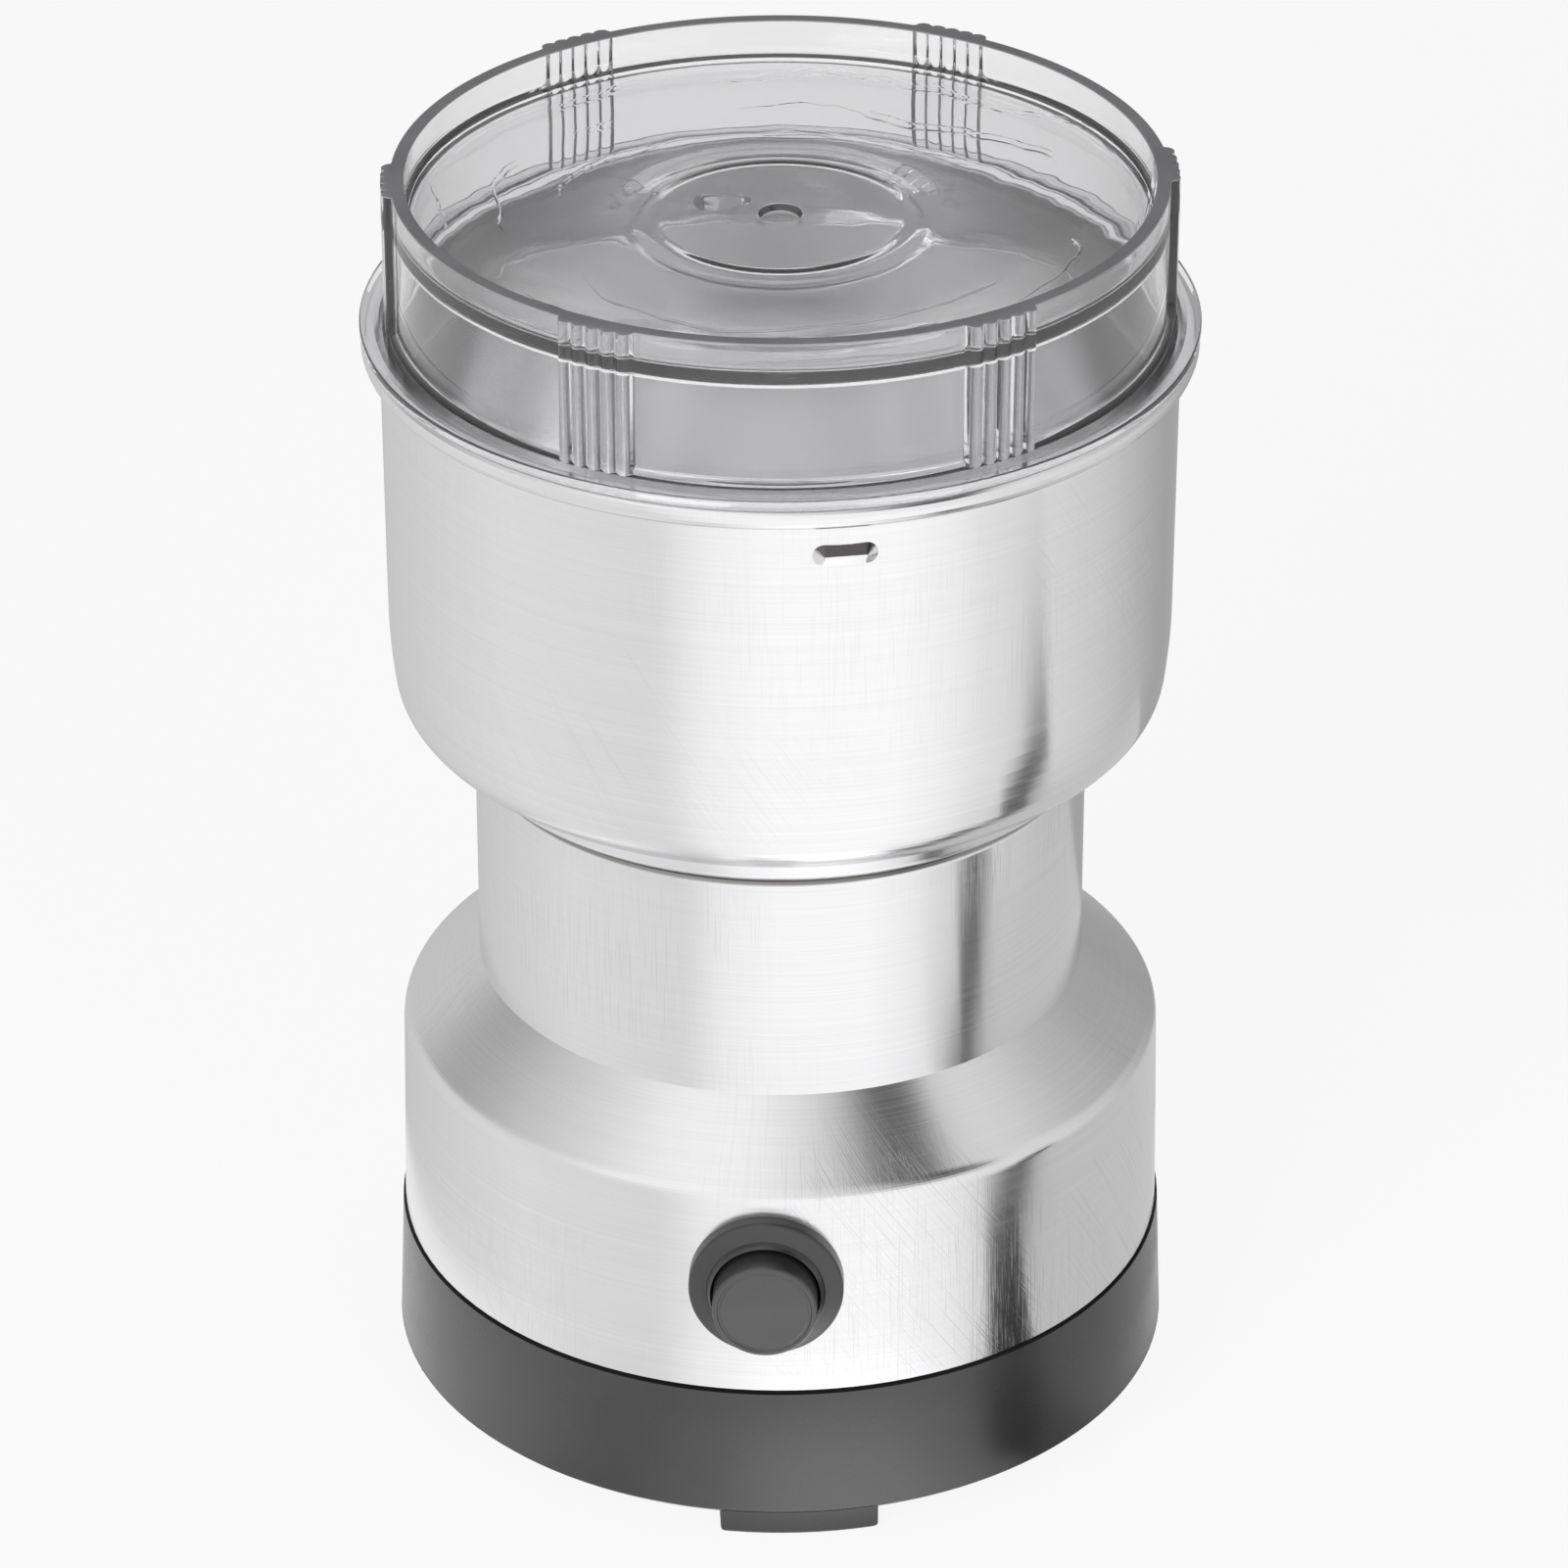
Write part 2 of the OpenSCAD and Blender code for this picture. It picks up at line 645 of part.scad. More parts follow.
module button() {
    r = button_d / 2;
    color([0.25, 0.25, 0.26])
    facing_front(button_z) rotate_extrude() polygon(concat(
        [[0, button_back], [collar_r, button_back], [collar_r, button_back + collar_t],
         [r, button_back + collar_t]],
        arc([r - 0.35, button_face - 0.35], 0.35, 0, 90, 4),
        [[r - 0.6, button_face], [r - 0.7, button_face - 0.12], [r - 0.9, button_face - 0.12],
         [r - 1.1, button_face - 0.02], [0, button_face - 0.02]]));
}

module button_spring() {
    color([0.7, 0.7, 0.7])
    facing_front(button_z) translate([0, 0, switch_front + seat])
        coil_spring(4.6, 0.3, button_back - switch_front - 2 * seat, 3);
}

module switch_plunger() {
    color([0.85, 0.83, 0.75])
    facing_front(button_z) translate([0, 0, button_back - seat - plunger_len])
        cylinder(r = plunger_r, h = plunger_len);
}

module switch_body() {
    depth = button_back - switch_front + plunger_len;
    color([0.12, 0.12, 0.13])
    facing_front(button_z) difference() {
        translate([-switch_w / 2, -switch_h / 2, switch_front - switch_d])
            cube([switch_w, switch_h, switch_d]);
        translate([0, 0, button_back - plunger_len - button_travel - 0.3])
            cylinder(r = plunger_r + seat, h = depth + switch_d);
    }
}

module switch_terminals() {
    color([0.8, 0.65, 0.3])
    facing_front(button_z) for (x = [-1, 1])
        translate([x * 4 - 0.4, -2.4, switch_front - switch_d - 5 - seat]) difference() {
            cube([0.8, 4.8, 5]);
            translate([-1, 2.4, 2]) rotate([0, 90, 0]) cylinder(r = 0.9, h = 3);
        }
}

module motor_damper() {
    color([0.1, 0.1, 0.1])
    translate([0, 0, chassis_z1 + seat])
        ring(chassis_in_r + 0.6, lower_r - 0.4, damper_t - 2 * seat);
}

module lower_frame() {
    color([0.75, 0.72, 0.65])
    difference() {
        union() {
            translate([0, 0, lower_z0]) cylinder(r = lower_r, h = frame_t);
            translate([0, 0, boss_z0]) cylinder(r = boss_r, h = boss_z1 - boss_z0);
            for (x = [-1, 1], y = [-1, 1]) translate([x * tie_xy, y * tie_xy, lower_z0])
                cylinder(r = tie_post_r, h = stack_z0 - lower_z0 - seat);
            for (a = [0, 180]) rotate([0, 0, a])
                translate([holder_x0 + 1, -brush_w / 2 - 1.5, lower_z0])
                    cube([holder_x1 - holder_x0 - 1, brush_w + 3,
                          brush_z - holder_w / 2 - seat - lower_z0]);
        }
        for (a = [45, 225]) translate([0, 0, lower_z0 - 1])
            sector(boss_r + 2.5, lower_r - 5.5, frame_t + 2, a, a + 90);
        translate([0, 0, boss_z0 - 1]) cylinder(r = bearing_r + fit, h = 20);
        for (x = [-1, 1], y = [-1, 1]) translate([x * tie_xy, y * tie_xy, lower_z0 - 1]) {
            cylinder(r = screw_hole_r, h = 60);
            cylinder(r = head_r + 0.3, h = 1 + head_h + 0.1);
        }
    }
}

// A sintered bush round the shaft
module bush(h) {
    ring(shaft_r + run, bearing_r, h);
}

module lower_bearing() {
    color([0.72, 0.55, 0.3])
    translate([0, 0, boss_z0 + 0.3]) bush(boss_z1 - boss_z0 - 0.3);
}

module upper_bearing() {
    color([0.72, 0.55, 0.3])
    translate([0, 0, upper_z0 + 0.1]) bush(nose_z - nose_cup - 0.5 - upper_z0);
}

module brush_holders() {
    color([0.82, 0.68, 0.35])
    for (a = [0, 180]) rotate([0, 0, a]) difference() {
        translate([holder_x0, -holder_w / 2, brush_z - holder_w / 2])
            cube([holder_x1 - holder_x0, holder_w, holder_w]);
        translate([holder_x0 - 1, -brush_w / 2 - 0.1, brush_z - brush_w / 2 - 0.1])
            cube([holder_x1 - holder_x0 + 0.2, brush_w + 0.2, brush_w + 0.2]);
    }
}

module carbon_brushes() {
    color([0.15, 0.15, 0.15])
    for (a = [0, 180]) rotate([0, 0, a])
        translate([commutator_r + 0.1, -brush_w / 2, brush_z - brush_w / 2])
            cube([brush_len, brush_w, brush_w]);
}

module brush_springs() {
    x0 = commutator_r + 0.1 + brush_len + seat;
    color([0.7, 0.7, 0.72])
    for (a = [0, 180]) rotate([0, 0, a]) translate([x0, 0, brush_z]) rotate([0, 90, 0])
        coil_spring(1.9, 0.25, holder_x1 - 0.85 - x0, 5, 10);
}

module motor_screws() {
    color([0.6, 0.6, 0.62])
    for (x = [-1, 1], y = [-1, 1])
        translate([x * tie_xy, y * tie_xy, lower_z0 + head_h + 0.1 - seat])
            screw(stack_z1 + 7 - lower_z0 - head_h);
}

module stator_core() {
    color([0.45, 0.46, 0.48])
    translate([0, 0, stack_z0]) linear_extrude(stack_h) difference() {
        intersection() {
            rounded_square(stator_w, stator_w, 8);
            circle(r = upper_r - 0.5);
        }
        circle(r = bore_r);
        square([8, 2 * slot_r0 + 1], center = true);
        for (a = [0, 180]) rotate(a) intersection() {
            difference() {
                circle(r = slot_r1);
                circle(r = slot_r0);
            }
            polygon([[0, 0], 60 * [cos(90 - slot_a), sin(90 - slot_a)], [0, 60],
                     60 * [cos(90 + slot_a), sin(90 + slot_a)]]);
        }
        for (x = [-1, 1], y = [-1, 1]) translate([x * tie_xy, y * tie_xy])
            circle(r = screw_hole_r);
    }
}

module field_coils() {
    over = 5;
    leg_a0 = 90 - slot_a + 1.5;
    leg_a1 = leg_a0 + 24;
    color([0.72, 0.38, 0.18])
    for (a = [0, 180]) rotate([0, 0, a]) difference() {
        translate([0, 0, stack_z0 - over]) sector(slot_r0 + coil_gap, slot_r1 - coil_gap,
            stack_h + 2 * over, -leg_a1, leg_a1);
        translate([0, 0, stack_z0 - coil_gap]) sector(slot_r0 - 1, slot_r1 + 1,
            stack_h + 2 * coil_gap, -leg_a0, leg_a0);
    }
}

module upper_frame() {
    skirt_under = rise_z - 0.3;
    color([0.7, 0.71, 0.73])
    difference() {
        union() {
            rotate_extrude() polygon([
                [0, upper_z0], [upper_r, upper_z0], [upper_r, upper_z1],
                [flange_in_r - 0.2, upper_z1], [flange_in_r - 0.2, bowl_z0 - 0.1],
                [rise_r0 - 0.6, bowl_z0 - 0.1], [rise_r1 - 0.6, skirt_under],
                [nose_r, skirt_under], [nose_r, nose_z], [0, nose_z]]);
            for (x = [-1, 1], y = [-1, 1]) translate([x * tie_xy, y * tie_xy, stack_z1 + seat])
                cylinder(r = tie_post_r, h = upper_z0 + 1 - stack_z1 - seat);
        }
        translate([0, 0, upper_z0 - 1]) cylinder(r = bearing_r + fit, h = nose_z - upper_z0 + 2);
        translate([0, 0, nose_z - nose_cup]) cylinder(r = bearing_r + 1, h = nose_cup + 1);
        for (x = [-1, 1], y = [-1, 1]) translate([x * tie_xy, y * tie_xy, stack_z1 - 1])
            cylinder(r = pilot_r, h = upper_post_h);
    }
}

module shaft_seal() {
    color([0.12, 0.12, 0.12])
    translate([0, 0, nose_z - nose_cup + fit]) ring(shaft_r + run, bearing_r + 1 - fit, 2.8);
}

module motor_shaft() {
    tip = 0.5;
    color([0.78, 0.78, 0.8])
    rotate_extrude() polygon([
        [0, shaft_z0], [shaft_r - tip, shaft_z0], [shaft_r, shaft_z0 + tip],
        [shaft_r, shaft_step_z0], [core_shaft_r, shaft_step_z0],
        [core_shaft_r, shaft_step_z1], [shaft_r, shaft_step_z1], [shaft_r, blade_z0],
        [thread_r, blade_z0], [thread_r, shaft_z1 - tip], [thread_r - tip, shaft_z1],
        [0, shaft_z1]]);
}

module thrust_washers() {
    color([0.75, 0.75, 0.7])
    for (z = [boss_z1 + 0.15, upper_z0 - washer_t - 0.15]) translate([0, 0, z])
        ring(shaft_r + fit, shaft_r + washer_w, washer_t);
}

module cooling_fan() {
    disc_t = 1.2;
    blade_h = 8;
    color([0.9, 0.9, 0.88])
    difference() {
        union() {
            translate([0, 0, fan_z0]) cylinder(r = fan_hub_r, h = boss_z0 - fan_z0 - 0.4);
            translate([0, 0, fan_z0 + blade_h]) cylinder(r = fan_r, h = disc_t);
            for (i = [0:fan_blades - 1]) rotate([0, 0, 360 * i / fan_blades])
                translate([fan_blade_in, 0, fan_z0]) rotate([0, 0, 20])
                    translate([0, -0.5, 0]) cube([fan_r - fan_blade_in - 1, 1, blade_h + disc_t / 2]);
        }
        translate([0, 0, fan_z0 - 1]) cylinder(r = shaft_r + fit, h = 40);
    }
}

module commutator() {
    color([0.75, 0.42, 0.22])
    translate([0, 0, commutator_z0]) difference() {
        union() {
            cylinder(r = commutator_r, h = commutator_h);
            translate([0, 0, commutator_h - 2]) cylinder(r = commutator_r + 1.4, h = 2);
        }
        translate([0, 0, -1]) cylinder(r = core_shaft_r + fit, h = commutator_h + 2);
        for (i = [0:commutator_bars - 1]) rotate([0, 0, 360 * i / commutator_bars])
            translate([commutator_r - 1, -0.2, -1]) cube([4, 0.4, commutator_h + 2]);
    }
}

module rotor_core() {
    color([0.5, 0.51, 0.53])
    translate([0, 0, stack_z0]) linear_extrude(stack_h) difference() {
        circle(r = rotor_r);
        circle(r = core_shaft_r + fit);
        for (i = [0:rotor_slots - 1]) rotate(360 * i / rotor_slots) {
            translate([rotor_r - 3.8, 0]) circle(r = 2);
            translate([rotor_r - 3, -0.6]) square([5, 1.2]);
        }
    }
}

module rotor_winding() {
    in_r = core_shaft_r + 1.2;
    out_r = rotor_r - 1.2;
    dome = concat([[in_r, 0], [out_r, 0]],
        arc([out_r - 3, winding_h - 3], 3, 0, 90, 5),
        arc([in_r + 2, winding_h - 2], 2, 90, 180, 4));
    color([0.7, 0.36, 0.16]) {
        translate([0, 0, stack_z1]) rotate_extrude() polygon(dome);
        translate([0, 0, stack_z0]) mirror([0, 0, 1]) rotate_extrude() polygon(dome);
        for (i = [0:rotor_slots - 1]) rotate([0, 0, 360 * i / rotor_slots])
            translate([rotor_r - 2 * wire_r, 0, stack_z0 - 1]) cylinder(r = wire_r, h = stack_h + 2);
    }
}

module blade_hub() {
    z0 = nose_z + 0.7;
    color([0.75, 0.75, 0.77])
    difference() {
        translate([0, 0, z0]) cylinder(r = hub_r, h = blade_z0 - z0 - fit);
        translate([0, 0, z0 - 1]) cylinder(r = shaft_r + fit, h = blade_z0 - z0 + 2);
    }
}

// One wing: flat over the hub, then sections along X that narrow, rise and twist, with a
// ground front edge
module blade_wing() {
    root = hub_r - 2;
    start = hub_r + 0.4;
    steps = 10;
    tip = blade_span / 2;
    section = function (i)
        let(s = max(0, i - 1) / (steps - 1),
            x = i == 0 ? root : start + (tip - start) * s,
            w = blade_w + (tip_w - blade_w) * s * s,
            lift = tip_rise * s * s,
            a = blade_twist * s,
            grind = w * (0.08 + 0.3 * min(1, 3 * s)))
        [for (p = [[w / 2, -blade_t * 0.4], [w / 2, -blade_t / 2 + 0.25],
                   [w / 2 - grind, blade_t / 2], [-w / 2, blade_t / 2],
                   [-w / 2, -blade_t / 2], [w / 2 - 0.4, -blade_t / 2]])
            [x, p[0] * cos(a) - p[1] * sin(a), p[0] * sin(a) + p[1] * cos(a) + lift]];
    points = [for (i = [0:steps]) each section(i)];
    sides = 6;
    walls = [for (i = [0:steps - 1]) for (k = [0:sides - 1])
        let(a = i * sides + k, b = i * sides + (k + 1) % sides)
        each [[a, a + sides, b], [b, a + sides, b + sides]]];
    ends = [[for (k = [0:sides - 1]) k], [for (k = [sides - 1:-1:0]) steps * sides + k]];
    polyhedron(points, concat(walls, ends), convexity = 4);
}

module blade() {
    color([0.82, 0.82, 0.84])
    translate([0, 0, blade_z0 + blade_t / 2]) difference() {
        union() {
            for (a = [0, 180]) rotate([0, 0, a]) blade_wing();
            translate([0, 0, -blade_t / 2]) cylinder(r = hub_r + 1.2, h = blade_t);
        }
        translate([0, 0, -5]) cylinder(r = thread_r + fit, h = 10);
    }
}

module blade_nut() {
    across = 2 * thread_r + 5;
    z0 = blade_z0 + blade_t + fit;
    color([0.8, 0.8, 0.82])
    difference() {
        union() {
            translate([0, 0, z0]) cylinder(d = across / cos(30), h = 3, $fn = 6);
            translate([0, 0, z0 + 2.9]) cylinder(r1 = across / 2 - 0.3, r2 = across / 4, h = 1.9);
        }
        translate([0, 0, z0 - 1]) cylinder(r = thread_r + fit, h = shaft_z1 - z0 + 1.2);
    }
}

module bowl_gasket() {
    color([0.1, 0.1, 0.1])
    translate([0, 0, neck_z1 + fit])
        ring(flange_in_r, neck_r - neck_round - 1, gasket_t - 2 * fit);
}

module bowl() {
    outside = concat(bowl_side(0),
        [[ring_r + 0.6, sweep_end_z - 0.2], [ring_r, bowl_z0 + 1]],
        arc([ring_r - 1, bowl_z0 + 1], 1, 0, -90, 4),
        [[rise_r0, bowl_z0], [rise_r1, rise_z], [bowl_hole_r, rise_z]]);
    inside = concat(bowl_side(bowl_t),
        [[ring_r + 0.5 - bowl_t, sweep_end_z + bowl_t * 0.6], [ring_r - bowl_t, bowl_z0 + bowl_t],
         [rise_r0, bowl_z0 + bowl_t], [rise_r1, rise_z + bowl_t], [bowl_hole_r, rise_z + bowl_t]]);
    out_r = bowl_r + bowl_draft;
    dip = sqrt(pow(bead_r, 2) - pow(bead_c_r - out_r, 2));
    bead = arc([bead_c_r, bead_z], bead_r, 180, -180 + atan2(dip, bead_c_r - out_r), 14);
    color([0.85, 0.85, 0.86])
    difference() {
        union() {
            rotate_extrude() polygon(concat(reversed(inside),
                [for (i = [1:len(bead) - 1]) bead[i]], [for (i = [1:len(outside) - 1]) outside[i]]));
            for (a = [0, 180]) rotate([0, 0, catch_turn + a]) facing_front(catch_z)
                translate([0, 0, bowl_r]) catch_form(catch_w, catch_h, catch_d, 0.4);
        }
        for (a = [0, 180]) rotate([0, 0, catch_turn + a]) facing_front(catch_z)
            translate([0, 0, bowl_r - bowl_t]) catch_form(catch_w - 2 * catch_in,
                catch_h - 2 * catch_in, catch_d - catch_in / catch_slope, 0.7);
    }
}

module bowl_washer() {
    color([0.1, 0.1, 0.1])
    translate([0, 0, rise_z + bowl_t + fit])
        ring(nose_r + seat, nose_r + 4, gasket_t);
}

module bowl_nut() {
    h = 2.8;
    color([0.78, 0.78, 0.8])
    translate([0, 0, rise_z + bowl_t + gasket_t + 2 * fit]) difference() {
        cylinder(r = nose_r + 3.6, h = h, $fn = 6);
        translate([0, 0, -1]) cylinder(r = nose_r + seat, h = h + 2);
    }
}

module lid() {
    foot = lid_foot;
    edge = lid_edge;
    flange_top = lid_z0 + flange_t;
    dish = [for (i = [0:16]) let(r = lid_in_r - 1 - (lid_in_r - 1 - disc_foot_r) * i / 16)
        [r, dish_z(r)]];
    disc_top = lid_floor_z - disc_drop;
    disc_side = [for (i = [1:5]) [disc_foot_r - (disc_foot_r - disc_r) * i / 5,
        disc_top - disc_rise * (1 + cos(36 * i)) / 2]];
    top = concat(
        arc([lid_in_r - 1, lid_floor_z + 1], 1, 0, -80, 4), dish, disc_side,
        [[pip_r, disc_top], [pip_r - 0.4, disc_top - 0.8], [0, disc_top - 0.8]]);
    under = concat(
        [[0, disc_top - floor_t], [disc_r - 0.5, disc_top - floor_t],
         [disc_foot_r - 0.3, dish_z(disc_foot_r) - floor_t]],
        [for (i = [15:-1:0]) dish[i] - [0, floor_t]],
        [[lid_in_r, lid_floor_z - floor_t]]);
    color([0.78, 0.77, 0.8, 0.5]) {
        rotate_extrude() polygon(concat(
            under,
            [[lid_in_r, lid_z0 + 1.5], [plug_in_r, lid_z0], [plug_in_r, lid_z0 - plug_depth],
             [plug_r - 0.3, lid_z0 - plug_depth], [plug_r, lid_z0 - plug_depth + 1],
             [plug_r, lid_z0], [flange_r - edge, lid_z0], [flange_r, lid_z0 + edge],
             [flange_r, flange_top - edge], [flange_r - edge, flange_top]],
            arc([lid_r + foot, flange_top + foot], foot, -90, -180, 5),
            [[lid_r, lid_z1 - edge], [lid_r - edge, lid_z1], [lid_in_r + edge, lid_z1],
             [lid_in_r, lid_z1 - edge]],
            top));
        for (p = [0:pads - 1]) for (i = [0:pad_ribs - 1])
            rotate([0, 0, pad_turn + 360 * p / pads
                + (i - (pad_ribs - 1) / 2) * rib_pitch / lid_r * 180 / PI])
                translate([0, rib_r - rib_proud - lid_r, flange_top - 0.5]) rotate([0, 0, 90])
                    cylinder(r = rib_r, h = lid_z1 - 0.05 - flange_top + 0.5);
        for (a = [0, 180]) rotate([0, 0, catch_turn + a]) facing_front(catch_z)
            translate([0, 0, plug_r]) catch_form(catch_w - 2.4, catch_h - 1.4,
                plug_gap - 0.1, 0.3);
    }
}

feet();
base_tub();
base_screws();
lead_bush();
chassis();
housing_shell();
switch_bezel();
bezel_nut();
button();
button_spring();
switch_plunger();
switch_body();
switch_terminals();
motor_damper();
lower_frame();
lower_bearing();
brush_holders();
carbon_brushes();
brush_springs();
motor_screws();
stator_core();
field_coils();
upper_frame();
upper_bearing();
shaft_seal();
motor_shaft();
thrust_washers();
cooling_fan();
commutator();
rotor_core();
rotor_winding();
blade_hub();
blade();
blade_nut();
bowl_gasket();
bowl();
bowl_washer();
bowl_nut();
lid();
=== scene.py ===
# Electric spice grinder, dressed for its picture. Metres; Z is up and the button faces -Y.
from math import atan2, cos, pi, radians, sin

import bmesh
import bpy
from mathutils import Matrix, Vector


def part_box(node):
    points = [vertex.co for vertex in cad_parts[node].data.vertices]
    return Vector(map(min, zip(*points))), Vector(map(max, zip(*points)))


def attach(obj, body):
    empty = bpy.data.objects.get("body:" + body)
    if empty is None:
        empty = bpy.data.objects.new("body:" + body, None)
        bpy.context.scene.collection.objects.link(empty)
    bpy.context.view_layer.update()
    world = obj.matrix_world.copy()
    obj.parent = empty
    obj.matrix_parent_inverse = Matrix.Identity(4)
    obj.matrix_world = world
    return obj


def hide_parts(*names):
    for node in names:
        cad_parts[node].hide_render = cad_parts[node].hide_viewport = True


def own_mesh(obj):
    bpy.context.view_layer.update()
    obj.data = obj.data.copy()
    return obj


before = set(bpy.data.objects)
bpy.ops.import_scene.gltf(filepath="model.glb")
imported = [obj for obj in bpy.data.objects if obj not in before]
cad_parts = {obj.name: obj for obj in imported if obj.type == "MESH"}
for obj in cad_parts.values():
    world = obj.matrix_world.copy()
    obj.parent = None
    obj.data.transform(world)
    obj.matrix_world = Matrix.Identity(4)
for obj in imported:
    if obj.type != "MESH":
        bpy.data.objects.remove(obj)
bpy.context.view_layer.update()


# View. A long lens on a stand, looking down on the grinder from a little right of the button.
# It stands lens_reach from the grinder's axis and lens_height over the table.
picture_width, focal_length, off_centre = 1601, 7447, 3.8  # in pixels
lens_turn, lens_pitch = radians(2.05), radians(29.58)
lens_reach, lens_height = 0.8055, 0.5391
lens = bpy.data.cameras.new("view_lens")
lens.sensor_fit = "HORIZONTAL"
lens.sensor_width = 36.0
lens.lens = lens.sensor_width * focal_length / picture_width
lens.shift_x = off_centre / picture_width
lens.clip_start = 0.05
lens.clip_end = 20.0
view = bpy.data.objects.new("view", lens)
view.location = (lens_reach * sin(lens_turn), -lens_reach * cos(lens_turn), lens_height)
view.rotation_euler = (pi / 2 - lens_pitch, 0, lens_turn)
bpy.context.scene.collection.objects.link(view)
bpy.context.scene.camera = view
bpy.context.scene.view_settings.view_transform = "Standard"


# Studio table. A wide sheet of matt white board that the grinder stands on. It is bright
# enough to run into the white behind it while it keeps the soft shadow.
def put_in_scene(name, shape):
    """Makes a piece of a finished bmesh."""
    mesh = bpy.data.meshes.new(name)
    shape.to_mesh(mesh)
    shape.free()
    piece = bpy.data.objects.new(name, mesh)
    bpy.context.scene.collection.objects.link(piece)
    return piece


def arithmetic(tree, operation, *values):
    """One step of arithmetic, on numbers and on what other nodes give."""
    step = tree.nodes.new("ShaderNodeMath")
    step.operation = operation
    for socket, value in zip(step.inputs, values):
        if isinstance(value, (int, float)):
            socket.default_value = value
        else:
            tree.links.new(value, socket)
    return step.outputs[0]


def plain_finish(name, colour, rough, metal=0.0):
    """A material of one colour; gives back its Principled node, and the tree it is in."""
    finish = bpy.data.materials.new(name)
    finish.use_nodes = True
    paint = finish.node_tree.nodes["Principled BSDF"]
    paint.inputs["Base Color"].default_value = (*colour, 1)
    paint.inputs["Roughness"].default_value = rough
    paint.inputs["Metallic"].default_value = metal
    return finish, finish.node_tree, paint


def glow(tree, strength):
    """White light of a strength at which 1 is the white of the picture."""
    lit = tree.nodes.new("ShaderNodeEmission")
    lit.inputs["Color"].default_value = (1, 1, 1, 1)
    lit.inputs["Strength"].default_value = strength
    return lit


def seen_directly(tree):
    """1 for what the lens sees, straight or through clear plastic, and 0 for the rest."""
    rays = tree.nodes.new("ShaderNodeLightPath")
    return arithmetic(tree, "MAXIMUM", rays.outputs["Is Camera Ray"],
                      rays.outputs["Is Transmission Ray"])


table_radius, white_share = 6.0, 0.9
table_sheet = bmesh.new()
bmesh.ops.create_circle(table_sheet, cap_ends=True, radius=table_radius, segments=64)
studio_table = put_in_scene("studio_table", table_sheet)
white_board, board, board_paint = plain_finish("white_board", (0.86, 0.86, 0.86), 0.9)
board_mix = board.nodes.new("ShaderNodeMixShader")
board.links.new(arithmetic(board, "MULTIPLY", seen_directly(board), white_share),
                board_mix.inputs["Fac"])
board.links.new(board_paint.outputs["BSDF"], board_mix.inputs[1])
board.links.new(glow(board, 1.0).outputs["Emission"], board_mix.inputs[2])
board.links.new(board_mix.outputs[0], board.nodes["Material Output"].inputs["Surface"])
studio_table.data.materials.append(white_board)
studio_table.visible_glossy = False


# Dark strip of the studio. Black card cut to a slow wave, laid on the table at the right. Only
# gloss shows it, as the dark streaks down the bowl, the neck, the skirt and the base.
def show_to_gloss_alone(card):
    card.visible_camera = False
    card.visible_diffuse = False
    card.visible_transmission = False
    card.visible_shadow = False


# Middle of the strip and its half width, in millimetres, from the grinder outwards
strip_height = 0.0005
strip_course = [(40, -42, 5), (52, -44, 7), (66, -47, 9), (78, -52, 9), (94, -58, 10),
                (120, -54, 10), (131, -52, 9), (140, -52, 12), (150, -56, 14), (162, -58, 15),
                (176, -56, 16), (190, -54, 17), (205, -53, 18), (214, -54, 16), (226, -58, 11),
                (238, -57, 5), (252, -49, 2)]
strip = bmesh.new()
strip_left, strip_right = (
    [strip.verts.new((x / 1000, (y + side * half) / 1000, strip_height))
     for x, y, half in strip_course] for side in (1, -1))
strip.faces.new(strip_right + strip_left[::-1])
dark_strip = put_in_scene("dark_strip", strip)
dark_strip.data.materials.append(plain_finish("black_card", (0.01, 0.01, 0.01), 1.0)[0])
show_to_gloss_alone(dark_strip)


# Grey card of the studio. A sheet on the table at the right that takes the shine off the right
# side of the neck and the skirt. Only gloss shows it.
grey_size, grey_place, grey_strength = (0.112, 0.16, 1), (0.114, 0.030, 0.0003), 0.66
grey = bmesh.new()
bmesh.ops.create_grid(grey, x_segments=1, y_segments=1, size=0.5)
bmesh.ops.scale(grey, vec=grey_size, verts=grey.verts)
bmesh.ops.translate(grey, vec=grey_place, verts=grey.verts)
grey_card = put_in_scene("grey_card", grey)
card_grey, grey_tree, _ = plain_finish("card_grey", (0.5, 0.5, 0.5), 1.0)
grey_tree.links.new(glow(grey_tree, grey_strength).outputs["Emission"],
                    grey_tree.nodes["Material Output"].inputs["Surface"])
grey_card.data.materials.append(card_grey)
show_to_gloss_alone(grey_card)


# White card of the studio. A ring of card close round the base, brightest at the front right,
# which only gloss shows, as the slow change of shade along the dark plastic.
def between(tree, value, low, high, start=0.3, end=0.7):
    """Maps start to end onto low to high; start and end are at first a noise's middle range."""
    span = tree.nodes.new("ShaderNodeMapRange")
    for name, limit in (("From Min", start), ("From Max", end), ("To Min", low), ("To Max", high)):
        span.inputs[name].default_value = limit
    tree.links.new(value, span.inputs["Value"])
    return span.outputs["Result"]


def turn_share(tree, axes):
    """Direction round the grinder, from behind over its left side: 0.5 is straight in front."""
    front = arithmetic(tree, "MULTIPLY", axes.outputs["Y"], -1.0)
    angle = arithmetic(tree, "ARCTAN2", axes.outputs["X"], front)
    return between(tree, angle, 0, 1, -pi, pi)


